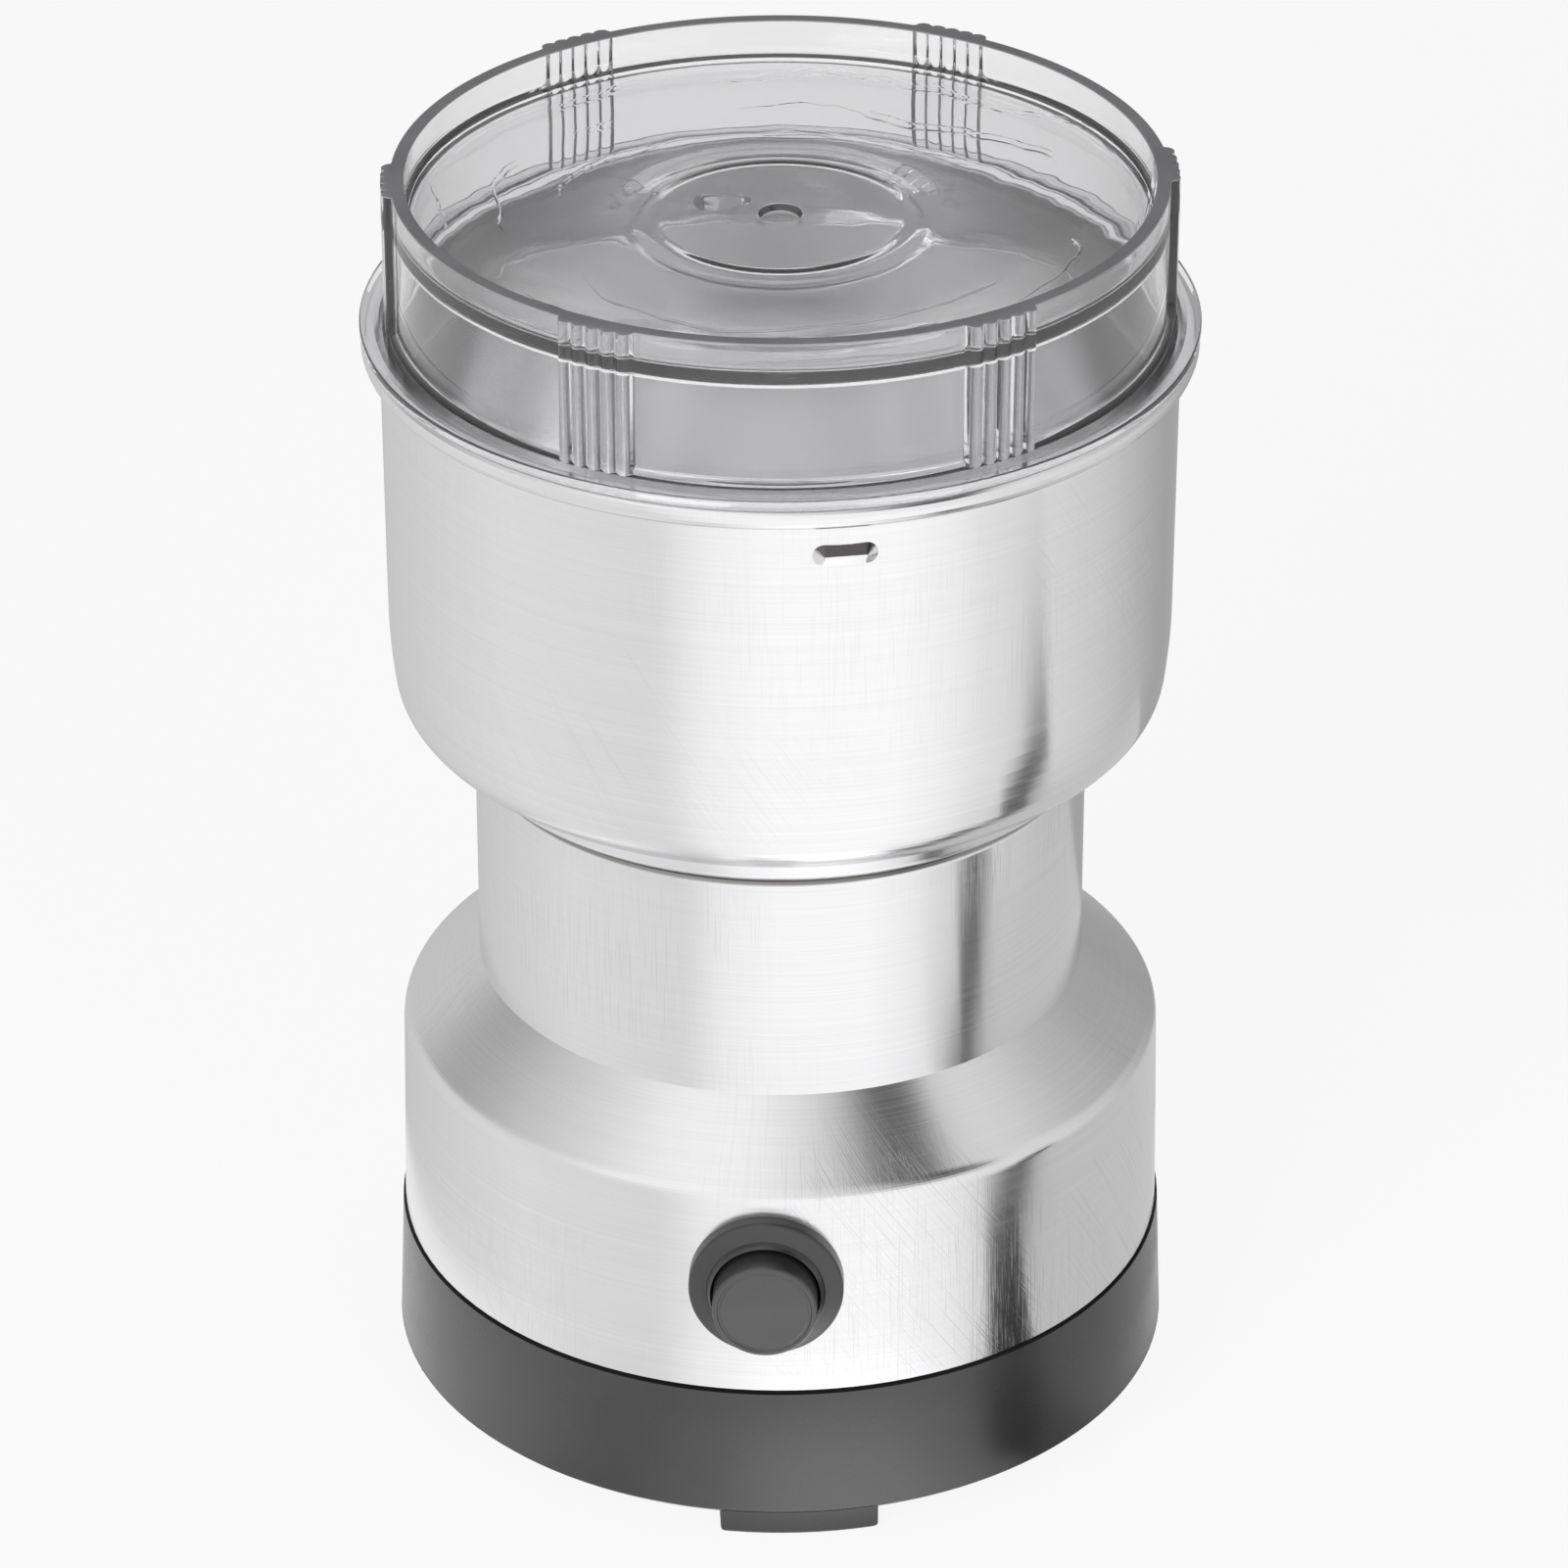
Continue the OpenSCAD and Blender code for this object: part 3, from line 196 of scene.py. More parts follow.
def shades_round(tree, share, shades, brightest=1):
    """Greys at angles in degrees from the front towards the right, over the brightest one."""
    ring = tree.nodes.new("ShaderNodeValToRGB")
    while len(ring.color_ramp.elements) < len(shades):
        ring.color_ramp.elements.new(0.5)
    for mark, (turn, shade) in zip(ring.color_ramp.elements, shades):
        mark.position = (turn + 180) / 360
        mark.color = (*[shade / brightest] * 3, 1)
    tree.links.new(share, ring.inputs["Fac"])
    return ring.outputs["Color"]


def axes_of(tree, way):
    """X, Y and Z of a texture coordinate."""
    place = tree.nodes.new("ShaderNodeTexCoord")
    axes = tree.nodes.new("ShaderNodeSeparateXYZ")
    tree.links.new(place.outputs[way], axes.inputs[0])
    return axes


card_inside, card_outside, card_height, card_strength = 0.052, 0.078, 0.0002, 2.5
card = bmesh.new()
card_inner = bmesh.ops.create_circle(card, cap_ends=False, radius=card_inside, segments=96)["verts"]
card_hoop = list({edge for point in card_inner for edge in point.link_edges})
card_outer = bmesh.ops.extrude_edge_only(card, edges=card_hoop)["geom"]
card_widen = card_outside / card_inside
bmesh.ops.scale(card, vec=(card_widen, card_widen, 1),
                verts=[point for point in card_outer if isinstance(point, bmesh.types.BMVert)])
bmesh.ops.translate(card, vec=(0, 0, card_height), verts=card.verts)
white_card = put_in_scene("white_card", card)
card_white, card_tree, _ = plain_finish("card_white", (0.8, 0.8, 0.8), 1.0)
card_shades = [(-180, 0.9), (-63, 1.4), (-47, 1.25), (-34, 0.95), (-28, 0.93), (-22, 1.08),
               (-16, 1.4), (-10, 1.5), (-5, 2.0), (0, 2.5), (6, 2.8), (12, 2.9), (23, 2.7),
               (29, 2.2), (36, 1.7), (50, 0.3), (56, 0.4), (64, 0.8), (90, 1.0), (180, 0.9)]
card_glow = glow(card_tree, card_strength)
card_tree.links.new(shades_round(card_tree, turn_share(card_tree, axes_of(card_tree, "Object")),
                                 card_shades, brightest=3), card_glow.inputs["Color"])
card_tree.links.new(card_glow.outputs["Emission"],
                    card_tree.nodes["Material Output"].inputs["Surface"])
white_card.data.materials.append(card_white)
show_to_gloss_alone(white_card)


# Light tent. White cloth all round: brightest in front of the grinder, greyer to the sides
# and the back. What shines on matt faces is even, and only the gloss shows the tent's shades.
tent_world = bpy.data.worlds.new("light_tent")
bpy.context.scene.world = tent_world
tent_world.use_nodes = True
tent = tent_world.node_tree
tent_axes = axes_of(tent, "Generated")
tent_share = turn_share(tent, tent_axes)
tent_low = shades_round(tent, tent_share, [
    (-180, 0.56), (-146, 0.70), (-110, 0.83), (-82, 0.92), (-60, 0.90), (-44, 0.89), (-34, 0.89),
    (-25, 1.04), (-20, 1.12), (0, 1.24), (36, 1.24), (54, 1.10), (64, 0.95), (85, 0.87),
    (108, 0.74), (130, 0.55), (150, 0.42), (165, 0.42), (180, 0.56)])
tent_high = shades_round(tent, tent_share, [
    (-180, 0.15), (-140, 0.30), (-114, 0.48), (-106, 0.55), (-93, 0.72), (-80, 0.83), (-62, 0.99),
    (-50, 1.12), (-26, 1.18), (-11, 1.15), (4, 1.02), (19, 0.88), (33, 0.66), (44, 0.24),
    (52, 0.10), (65, 0.10), (68, 0.70), (71, 0.86), (86, 0.86), (94, 0.80), (108, 0.62),
    (120, 0.55), (140, 0.30), (180, 0.15)])
tent_rise = tent.nodes.new("ShaderNodeMapRange")
tent_rise.interpolation_type = "SMOOTHSTEP"
tent_rise.inputs["From Min"].default_value = 0.15
tent_rise.inputs["From Max"].default_value = 0.45
tent.links.new(tent_axes.outputs["Z"], tent_rise.inputs["Value"])


def blended(tree, share, first, second):
    """A colour that runs from the first to the second with a share of 0 to 1."""
    mix = tree.nodes.new("ShaderNodeMix")
    mix.data_type = "RGBA"
    tree.links.new(share, mix.inputs["Factor"])
    for name, colour in (("A", first), ("B", second)):
        if isinstance(colour, tuple):
            mix.inputs[name].default_value = (*colour, 1)
        else:
            tree.links.new(colour, mix.inputs[name])
    return mix.outputs["Result"]


def tent_light(colour=None, strength=None):
    """Light of the tent, white and of strength 1 unless a node gives either."""
    light = tent.nodes.new("ShaderNodeBackground")
    light.inputs["Color"].default_value = (1, 1, 1, 1)
    if colour:
        tent.links.new(colour, light.inputs["Color"])
    if strength:
        tent.links.new(strength, light.inputs["Strength"])
    return light.outputs[0]


def either_light(share, first, second):
    mix = tent.nodes.new("ShaderNodeMixShader")
    for socket, source in zip(mix.inputs, (share, first, second)):
        tent.links.new(source, socket)
    return mix.outputs[0]


tent_rays = tent.nodes.new("ShaderNodeLightPath")
tent_shine = tent_light(colour=blended(tent, tent_rise.outputs["Result"], tent_low, tent_high))
tent_even = tent_light(strength=between(tent, tent_axes.outputs["Z"], 0.8, 0.1, 0.0, 0.9))
tent_felt = either_light(tent_rays.outputs["Is Glossy Ray"], tent_even, tent_shine)
tent.links.new(either_light(seen_directly(tent), tent_felt, tent_light()),
               tent.nodes["World Output"].inputs["Surface"])


# Lamps. Two large soft boxes over the front, the left one brighter, which only light matt
# faces and the table: their shine is part of the tent.
def soft_box(name, turn, height, reach, width, power):
    lamp = bpy.data.lights.new(name, "AREA")
    lamp.shape = "SQUARE"
    lamp.size = width
    lamp.energy = power
    box = bpy.data.objects.new(name, lamp)
    box.location = (reach * sin(radians(turn)), -reach * cos(radians(turn)), height)
    towards = Vector((0, 0, 0.08)) - box.location
    box.rotation_euler = towards.to_track_quat("-Z", "Y").to_euler()
    bpy.context.scene.collection.objects.link(box)
    box.visible_glossy = False


soft_box("soft_box_left", turn=-30, height=0.42, reach=1.3, width=0.8, power=14.0)
soft_box("soft_box_right", turn=40, height=0.36, reach=1.3, width=0.7, power=5.0)


# Base tub. A shallow dish moulded in dark grey plastic with a fine even texture; it carries
# the feet below and is screwed up into the chassis. The mains lead comes in by a collar at
# its back, and air is drawn through slots in its floor.
def vector(tree, operation, *values):
    """One step of vector arithmetic, on triples and on what other nodes give."""
    step = tree.nodes.new("ShaderNodeVectorMath")
    step.operation = operation
    for socket, value in zip(step.inputs, values):
        if isinstance(value, tuple):
            socket.default_value = value
        else:
            tree.links.new(value, socket)
    return step.outputs["Value" if operation in ("LENGTH", "DOT_PRODUCT") else "Vector"]


def own_place(tree):
    """Each place on the piece, in its own coordinates."""
    return tree.nodes.new("ShaderNodeTexCoord").outputs["Object"]


def stretched(tree, scales):
    size = tree.nodes.new("ShaderNodeMapping")
    size.inputs["Scale"].default_value = scales
    tree.links.new(own_place(tree), size.inputs["Vector"])
    return size.outputs["Vector"]


def grain(tree, scale, detail=3.0, stretch=(1, 1, 1)):
    """Noise on the piece's own coordinates; stretch makes it finer one way than another."""
    noise = tree.nodes.new("ShaderNodeTexNoise")
    noise.inputs["Scale"].default_value = scale
    noise.inputs["Detail"].default_value = detail
    tree.links.new(stretched(tree, stretch), noise.inputs["Vector"])
    return noise.outputs["Fac"]


def emboss(tree, height, depth, strength, below=None):
    """Bump of a depth in metres, laid over another bump where one is given."""
    bump = tree.nodes.new("ShaderNodeBump")
    bump.inputs["Distance"].default_value = depth
    bump.inputs["Strength"].default_value = strength
    tree.links.new(height, bump.inputs["Height"])
    if below:
        tree.links.new(below, bump.inputs["Normal"])
    return bump.outputs["Normal"]


def connect(paint, colour=None, roughness=None, normal=None):
    """Gives a finish the colour, roughness and relief that other nodes have worked out."""
    for name, source in (("Base Color", colour), ("Roughness", roughness), ("Normal", normal)):
        if source:
            paint.id_data.links.new(source, paint.inputs[name])


def moulded_plastic(name, dark, light, rough, shine=0.5):
    """Injection-moulded plastic: a fine spark texture, faint flow marks and rubbed patches."""
    finish, tree, paint = plain_finish(name, light, rough)
    paint.inputs["Specular IOR Level"].default_value = shine
    flow = grain(tree, 45, 4, (1, 1, 2.5))
    specks = between(tree, grain(tree, 2600, 1), 0, 1, 0.66, 0.74)
    marks = arithmetic(tree, "MULTIPLY_ADD", specks, 0.35, between(tree, flow, 0, 0.8))
    connect(paint, blended(tree, marks, dark, light),
            between(tree, flow, rough - 0.04, rough + 0.06),
            emboss(tree, grain(tree, 9000, 2), 0.00002, 0.6))
    return finish


def dress(finish, *nodes):
    """Gives CAD nodes their finish."""
    for node in nodes:
        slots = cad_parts[node].data.materials
        slots.clear()
        slots.append(finish)


dress(moulded_plastic("base_plastic", (0.025, 0.025, 0.026), (0.036, 0.036, 0.037), 0.25,
                      shine=0.62), "base_tub")


# Feet. Four rubbery plastic blocks with rounded corners, each pushed through the base's floor
# from below and held by a swelling on its stem.
dress(moulded_plastic("foot_plastic", (0.03, 0.03, 0.031), (0.042, 0.042, 0.043), 0.4), "feet")


# Screws of the base and of the motor. Pan-headed, cross-slotted, rolled from wire and zinc
# plated, so they are bright with a slight yellow-blue bloom.
def plated_steel(name, colour, rough):
    finish, tree, paint = plain_finish(name, colour, rough, 1.0)
    cloud = grain(tree, 700, 4)
    worn = tuple(c * 0.8 for c in colour)
    connect(paint, blended(tree, between(tree, cloud, 0, 1), worn, colour),
            between(tree, cloud, rough - 0.05, rough + 0.1),
            emboss(tree, grain(tree, 6000, 2), 0.00001, 0.5))
    return finish


dress(plated_steel("zinc_plate", (0.62, 0.62, 0.6), 0.3), "base_screws", "motor_screws")


# Chassis. A black moulded ring inside the skirt that the base's screws and the motor hang on.
dress(moulded_plastic("chassis_plastic", (0.018, 0.018, 0.019), (0.03, 0.03, 0.031), 0.45),
      "chassis")


# Body shell. One pressing of thin stainless steel: skirt, shoulder and neck, ground with a
# fine belt round the body, with finer cross scratches on the shoulder where it was turned.
def ground_lines(tree, pitch, run, detail=3.0):
    """Fine lines that run round the axis at one height and radius, pitch and run in 1/metres."""
    noise = tree.nodes.new("ShaderNodeTexNoise")
    noise.noise_dimensions = "4D"
    noise.inputs["Scale"].default_value = 1.0
    noise.inputs["Detail"].default_value = detail
    tree.links.new(stretched(tree, (run, run, pitch)), noise.inputs["Vector"])
    out = vector(tree, "LENGTH", vector(tree, "MULTIPLY", own_place(tree), (pitch, pitch, 0)))
    tree.links.new(out, noise.inputs["W"])
    return noise.outputs["Fac"]


def cross_scratches(tree, fine, run, slant):
    """Thin scratches across the grinding lines: up the walls and out along the shoulder."""
    lean = tree.nodes.new("ShaderNodeVectorRotate")
    lean.rotation_type = "Z_AXIS"
    tree.links.new(own_place(tree), lean.inputs["Vector"])
    tree.links.new(arithmetic(tree, "MULTIPLY", axes_of(tree, "Object").outputs["Z"], slant),
                   lean.inputs["Angle"])
    round_it = vector(tree, "NORMALIZE",
                      vector(tree, "MULTIPLY", lean.outputs["Vector"], (1, 1, 0)))
    up = vector(tree, "MULTIPLY", own_place(tree), (0, 0, run))
    noise = tree.nodes.new("ShaderNodeTexNoise")
    noise.inputs["Scale"].default_value = 1.0
    noise.inputs["Detail"].default_value = 2.0
    tree.links.new(vector(tree, "MULTIPLY_ADD", round_it, (fine, fine, 0), up),
                   noise.inputs["Vector"])
    return between(tree, noise.outputs["Fac"], 0, 1, 0.55, 0.70)


def belt_between(tree, start, end, soft):
    """1 between two heights in metres, 0 above and below, over a soft edge outside them."""
    height = axes_of(tree, "Object").outputs["Z"]
    return arithmetic(tree, "MULTIPLY", between(tree, height, 0, 1, start - soft, start),
                      between(tree, height, 1, 0, end, end + soft))


def brushed_steel(name, light, rough, cross, painted_shade_belts):
    """Stainless steel ground round the axis, with patches of scratches across the lines. Painted
    shade darkens it in belts at the heights, in metres, listed as (from, to, share). It gives
    back its colour and roughness too, for a piece that adds to them."""
    finish, tree, paint = plain_finish(name, light, rough, 1.0)
    lines = ground_lines(tree, 5200, 14)
    broad = between(tree, ground_lines(tree, 700, 9, 2.0), 0, 1)
    tone = arithmetic(tree, "MULTIPLY_ADD", between(tree, lines, 0, 1), 0.75,
                      arithmetic(tree, "MULTIPLY", broad, 0.25))
    patch = between(tree, grain(tree, 26, 2), 0, 1, 0.46, 0.62)
    other_patch = between(tree, grain(tree, 19, 2, (1, 1.3, 1)), 0, 1, 0.50, 0.62)
    upright = arithmetic(tree, "MULTIPLY", cross_scratches(tree, 300, 110, 0), patch)
    slanted = arithmetic(tree, "MULTIPLY", cross_scratches(tree, 220, 60, 14), other_patch)
    scratched = arithmetic(tree, "MAXIMUM", upright, slanted)
    dull, cut = (tuple(c * share for c in light) for share in (0.93, 0.72))
    colour = blended(tree, arithmetic(tree, "MULTIPLY", scratched, cross),
                     blended(tree, tone, dull, light), cut)
    # Belts of painted shade, at the heights listed
    for start, end, share in painted_shade_belts:
        belt = arithmetic(tree, "MULTIPLY", belt_between(tree, start, end, 0.0003), share)
        colour = blended(tree, belt, colour, (0.16, 0.14, 0.13))
    roughness = between(tree, lines, rough - 0.01, rough + 0.02)
    connect(paint, colour, roughness,
            emboss(tree, scratched, 0.00001, cross, emboss(tree, lines, 0.00001, 0.35)))
    paint.inputs["Anisotropic"].default_value = 0.88
    paint.inputs["Anisotropic Rotation"].default_value = 0.25
    # The direction round the axis at each place, which the grinding lines follow
    along = vector(tree, "NORMALIZE", vector(tree, "CROSS_PRODUCT", (0, 0, 1), own_place(tree)))
    tree.links.new(along, paint.inputs["Tangent"])
    return finish, tree, paint, colour, roughness


# A belt of painted shade darkens the top of the neck, where the bowl sits on it
dress(brushed_steel("body_steel", (0.78, 0.78, 0.79), 0.165, 0.45, [(0.0896, 0.0912, 0.8)])[0],
      "housing_shell")


# Switch bezel. A round dished plastic ring that is pushed through the skirt, clamped from
# behind by its nut, and guides the button.
dress(moulded_plastic("bezel_plastic", (0.013, 0.013, 0.014), (0.022, 0.022, 0.023), 0.26,
                      shine=0.8), "switch_bezel", "bezel_nut")


# Button. A solid moulded plunger with a flat round face, polished a little by thumbs.
dress(moulded_plastic("button_plastic", (0.018, 0.018, 0.019), (0.030, 0.030, 0.031), 0.28,
                      shine=1.0), "button")


# Button spring. Three turns of drawn spring-steel wire, bright and slightly oily, held
# between the switch and the button's back.
spring_wire = plated_steel("spring_wire", (0.55, 0.55, 0.56), 0.25)
spring_turns, turn_steps, wire_radius, coil_radius, button_travel = 3, 32, 0.0003, 0.0046, 0.0025
spring_low, spring_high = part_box("button_spring")
spring_middle, spring_length = (spring_low + spring_high) / 2, spring_high.y - spring_low.y
coil_pitch = (spring_length - 2 * wire_radius) / spring_turns
coil = bmesh.new()
wire_start = Matrix.Translation((spring_middle.x + coil_radius, spring_high.y - wire_radius,
                                 spring_middle.z))
wire_end = bmesh.ops.create_circle(coil, segments=12, radius=wire_radius, matrix=wire_start)
wire_ring = wire_end["verts"] + coil.edges[:]
bmesh.ops.spin(coil, geom=wire_ring, cent=spring_middle, axis=(0, -1, 0),
               angle=2 * pi * spring_turns, dvec=(0, -coil_pitch / turn_steps, 0),
               steps=spring_turns * turn_steps)
bmesh.ops.holes_fill(coil, edges=[edge for edge in coil.edges if edge.is_boundary], sides=0)
bmesh.ops.recalc_face_normals(coil, faces=coil.faces)
coiled_spring = put_in_scene("coiled_spring", coil)


def shade_smooth(piece, sharpest):
    """Rounds the shading of a piece, apart from edges that turn by more than sharpest."""
    piece.data.polygons.foreach_set("use_smooth", [True] * len(piece.data.polygons))
    piece.data.set_sharp_from_angle(angle=sharpest)


shade_smooth(coiled_spring, radians(60))
coiled_spring.data.materials.append(spring_wire)
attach(coiled_spring, "housing")
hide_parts("button_spring")
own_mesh(coiled_spring)


# Brush springs. Two small coils of the same wire that hold the brushes to the commutator.
dress(spring_wire, "brush_springs")


# Switch. A black box clipped behind the bezel, its cream plunger and two brass tags. The
# brushes' holders are folded from the same brass.
dress(moulded_plastic("switch_black", (0.02, 0.02, 0.021), (0.035, 0.035, 0.036), 0.4),
      "switch_body")
dress(moulded_plastic("switch_cream", (0.7, 0.68, 0.6), (0.8, 0.78, 0.7), 0.35), "switch_plunger")
dress(plated_steel("pressed_brass", (0.78, 0.6, 0.28), 0.28), "switch_terminals", "brush_holders")


# Rubber of the motor's damping ring, the shaft seal, the bowl's gasket and washer, and the bush
# that the mains lead comes in by. Moulded, matt, with a faint grey bloom.
def varied(name, middle, metal, pattern, dark, light, dull, depth, strength=0.5, relief=None):
    """A finish whose pattern sets its colour, its roughness and, without a relief, its bump."""
    finish, tree, paint = plain_finish(name, middle, sum(dull) / 2, metal)
    marks = grain(tree, *pattern)
    connect(paint, blended(tree, between(tree, marks, 0, 1), dark, light),
            between(tree, marks, *dull),
            emboss(tree, grain(tree, *relief) if relief else marks, depth, strength))
    return finish


dress(varied("black_rubber", (0.03, 0.03, 0.03), 0.0, (180, 4), (0.022, 0.022, 0.022),
             (0.05, 0.05, 0.049), (0.6, 0.82), 0.00003, 0.6, relief=(4000, 3)),
      "motor_damper", "shaft_seal", "bowl_gasket", "bowl_washer", "lead_bush")


# Motor frames. The lower one is moulded in cream heat-proof plastic, the upper one die-cast
# with a matt skin; both carry a bush for the shaft.
dress(moulded_plastic("frame_plastic", (0.55, 0.51, 0.42), (0.68, 0.64, 0.55), 0.5), "lower_frame")
dress(varied("cast_alloy", (0.6, 0.61, 0.63), 1.0, (1400, 4), (0.46, 0.47, 0.49),
             (0.64, 0.65, 0.67), (0.4, 0.6), 0.00006), "upper_frame")


# Bushes. Sintered bronze soaked in oil, darker where the oil has come through.
dress(varied("bush_bronze", (0.6, 0.42, 0.22), 1.0, (3500, 3), (0.36, 0.24, 0.12),
             (0.62, 0.44, 0.24), (0.3, 0.55), 0.00003), "lower_bearing", "upper_bearing")


# Brushes. Square sticks of pressed carbon, ground matt, with a faint graphite gleam.
carbon, carbon_tree, carbon_paint = plain_finish("pressed_carbon", (0.035, 0.035, 0.036), 0.5, 0.3)
carbon_grain = grain(carbon_tree, 5000, 3, (1, 6, 6))
connect(carbon_paint, roughness=between(carbon_tree, carbon_grain, 0.4, 0.65),
        normal=emboss(carbon_tree, carbon_grain, 0.00002, 0.5))
dress(carbon, "carbon_brushes")


# Stacks of steel plates, stator and rotor. Half-millimetre plates with a dark varnish, whose
# edges show as even lines up the sides.
core_plates, plate_tree, plate_paint = plain_finish("core_plates", (0.3, 0.31, 0.33), 0.42, 0.8)
plate_thickness = 0.0005
plate_edges = plate_tree.nodes.new("ShaderNodeTexWave")
plate_edges.bands_direction = "Z"
plate_edges.inputs["Scale"].default_value = 2 * pi / (20 * plate_thickness)
plate_edges.inputs["Distortion"].default_value = 0.6
plate_tree.links.new(own_place(plate_tree), plate_edges.inputs["Vector"])
connect(plate_paint, normal=emboss(plate_tree, plate_edges.outputs["Fac"], 0.00006, 0.6),
        colour=blended(plate_tree, plate_edges.outputs["Fac"], (0.13, 0.13, 0.14),
                       (0.36, 0.37, 0.39)))
dress(core_plates, "stator_core", "rotor_core")


# Windings. Enamelled copper wire, wound on the field's poles and in the rotor's slots.
for wound_node, wound_name, wound_stretch in (("field_coils", "field_copper", (2600, 2600, 60)),
                                              ("rotor_winding", "rotor_copper", (1600, 1600, 200))):
    copper = varied(wound_name, (0.6, 0.26, 0.1), 0.9, (1.0, 2, wound_stretch), (0.25, 0.08, 0.03),
                    (0.68, 0.3, 0.13), (0.22, 0.4), 0.00015, 0.8)
    copper.node_tree.nodes["Principled BSDF"].inputs["Coat Weight"].default_value = 0.5
    dress(copper, wound_node)


# Shaft, washers, commutator and fan. Ground and polished steel rod, slippery nylon washers at
# its bushes, turned copper bars and a moulded white fan.
def turned_metal(name, colour, rough):
    finish, tree, paint = plain_finish(name, colour, rough, 1.0)
    lines = ground_lines(tree, 5200, 30)
    dull = tuple(c * 0.85 for c in colour)
    connect(paint, blended(tree, between(tree, lines, 0, 1), dull, colour),
            between(tree, lines, rough - 0.05, rough + 0.08), emboss(tree, lines, 0.00001, 0.4))
    return finish


dress(turned_metal("shaft_steel", (0.68, 0.68, 0.7), 0.18), "motor_shaft")
dress(moulded_plastic("washer_nylon", (0.6, 0.6, 0.55), (0.72, 0.72, 0.67), 0.3), "thrust_washers")
dress(turned_metal("turned_copper", (0.72, 0.36, 0.18), 0.28), "commutator")
dress(moulded_plastic("fan_plastic", (0.7, 0.7, 0.67), (0.84, 0.84, 0.81), 0.32), "cooling_fan")


# Blade, its hub and nut, and the bowl's nut. Stainless steel: the hub turned, the blade
# stamped, twisted and ground to an edge on its leading side, the nut domed over its thread.
dress(varied("blade_steel", (0.72, 0.72, 0.74), 1.0, (1.0, 3, (350, 5200, 900)),
             (0.6192, 0.6192, 0.6364), (0.72, 0.72, 0.74), (0.19, 0.32), 0.00001), "blade")
dress(turned_metal("nut_steel", (0.7, 0.7, 0.72), 0.2), "blade_hub", "blade_nut", "bowl_nut")


# Bowl. Deep-drawn stainless steel with a rolled bead at its rim and two catches pressed in its
# side; satin outside, rougher inside where grinding and washing have dulled it, and with a
# lighter colour inside that is painted light.
bowl_inner_painted_light, bowl_inner_rough = (0.95, 0.95, 0.955), 0.22
# Two belts of painted shade darken the bowl at its foot and just above it, over the neck
bowl_steel, bowl_tree, bowl_paint, bowl_colour, bowl_rough = brushed_steel(
    "bowl_steel", (0.8, 0.8, 0.81), 0.16, 0.2, [(0.0905, 0.0912, 0.7), (0.0940, 0.0944, 0.5)])
bowl_facing = bowl_tree.nodes.new("ShaderNodeNewGeometry").outputs["True Normal"]
# How far a face looks outwards, in metres from the axis; the floor counts as looking inwards
bowl_level = vector(bowl_tree, "MULTIPLY_ADD", own_place(bowl_tree), (1, 1, 0), (0, 0, -0.03))
bowl_outward = vector(bowl_tree, "DOT_PRODUCT", bowl_level, bowl_facing)
# The lower slope of each catch, darkened with painted shade where it faces away from the light
bowl_lie = bowl_tree.nodes.new("ShaderNodeSeparateXYZ")
bowl_tree.links.new(bowl_facing, bowl_lie.inputs[0])
bowl_shaded_catch_slope = arithmetic(bowl_tree, "MULTIPLY",
                        between(bowl_tree, bowl_lie.outputs["Z"], 0, 1, 0.25, 0.35),
                        belt_between(bowl_tree, 0.136, 0.1425, 0.0005))
bowl_outside = between(bowl_tree, bowl_outward, 0, 1, 0.004, 0.008)
bowl_catch_painted_shade = arithmetic(bowl_tree, "MULTIPLY", bowl_shaded_catch_slope, bowl_outside)
bowl_colour = blended(bowl_tree, bowl_catch_painted_shade, bowl_colour, (0.13, 0.12, 0.125))
# 1 on the inside wall and on the floor, 0 outside and on the bead
bowl_height = axes_of(bowl_tree, "Object").outputs["Z"]
bowl_inside_dulled_and_lightened = arithmetic(bowl_tree, "MULTIPLY", between(bowl_tree, bowl_outward, 1, 0, -0.004, 0.0),
                         between(bowl_tree, bowl_height, 1, 0, 0.1445, 0.1455))
bowl_blend = bowl_tree.nodes.new("ShaderNodeMix")
bowl_blend.inputs["B"].default_value = bowl_inner_rough
bowl_tree.links.new(bowl_inside_dulled_and_lightened, bowl_blend.inputs["Factor"])
bowl_tree.links.new(bowl_rough, bowl_blend.inputs["A"])
# Inside, the steel is rougher, and painted lighter than outside as painted light for the dim inside
connect(bowl_paint, blended(bowl_tree, bowl_inside_dulled_and_lightened, bowl_colour, bowl_inner_painted_light),
        bowl_blend.outputs["Result"])
dress(bowl_steel, "bowl")


# Lid. One moulding of clear plastic that pushes into the bowl: a flange on the rim, six pads
# of ribs to grip, a dished floor with a raised disc and the gate's dimple, and two nubs on the
# plug that pass behind the bowl's catches. Thick mouldings like this keep slow flow ripples.
def bend(centre, radius, start, end, steps):
    """Points of a round corner in the (radius, height) plane, in millimetres and degrees."""
    turns = [radians(start + (end - start) * i / steps) for i in range(steps + 1)]
    return [(centre[0] + radius * cos(t), centre[1] + radius * sin(t)) for t in turns]


# The lid's outline is in millimetres too, from the inside of the plug down, out and up
disc_foot, disc_top, disc_rise, dimple_floor, floor_wall = 18.2, 15.0, 0.66, 161.0, 1.5
dish_out, wall_in, wall_out, rim_top = 44.8, 45.8, 47.4, 167.2


def lid_floor(r):
    """Height of the lid's floor: a dip towards the wall, then a gentle rise to the disc."""
    out = max(0.0, (r - disc_foot) / (wall_in - disc_foot))
    return 162.8 - 1.8 * sin(pi * out ** 0.62) ** 2 - 1.8 * (1 - out)


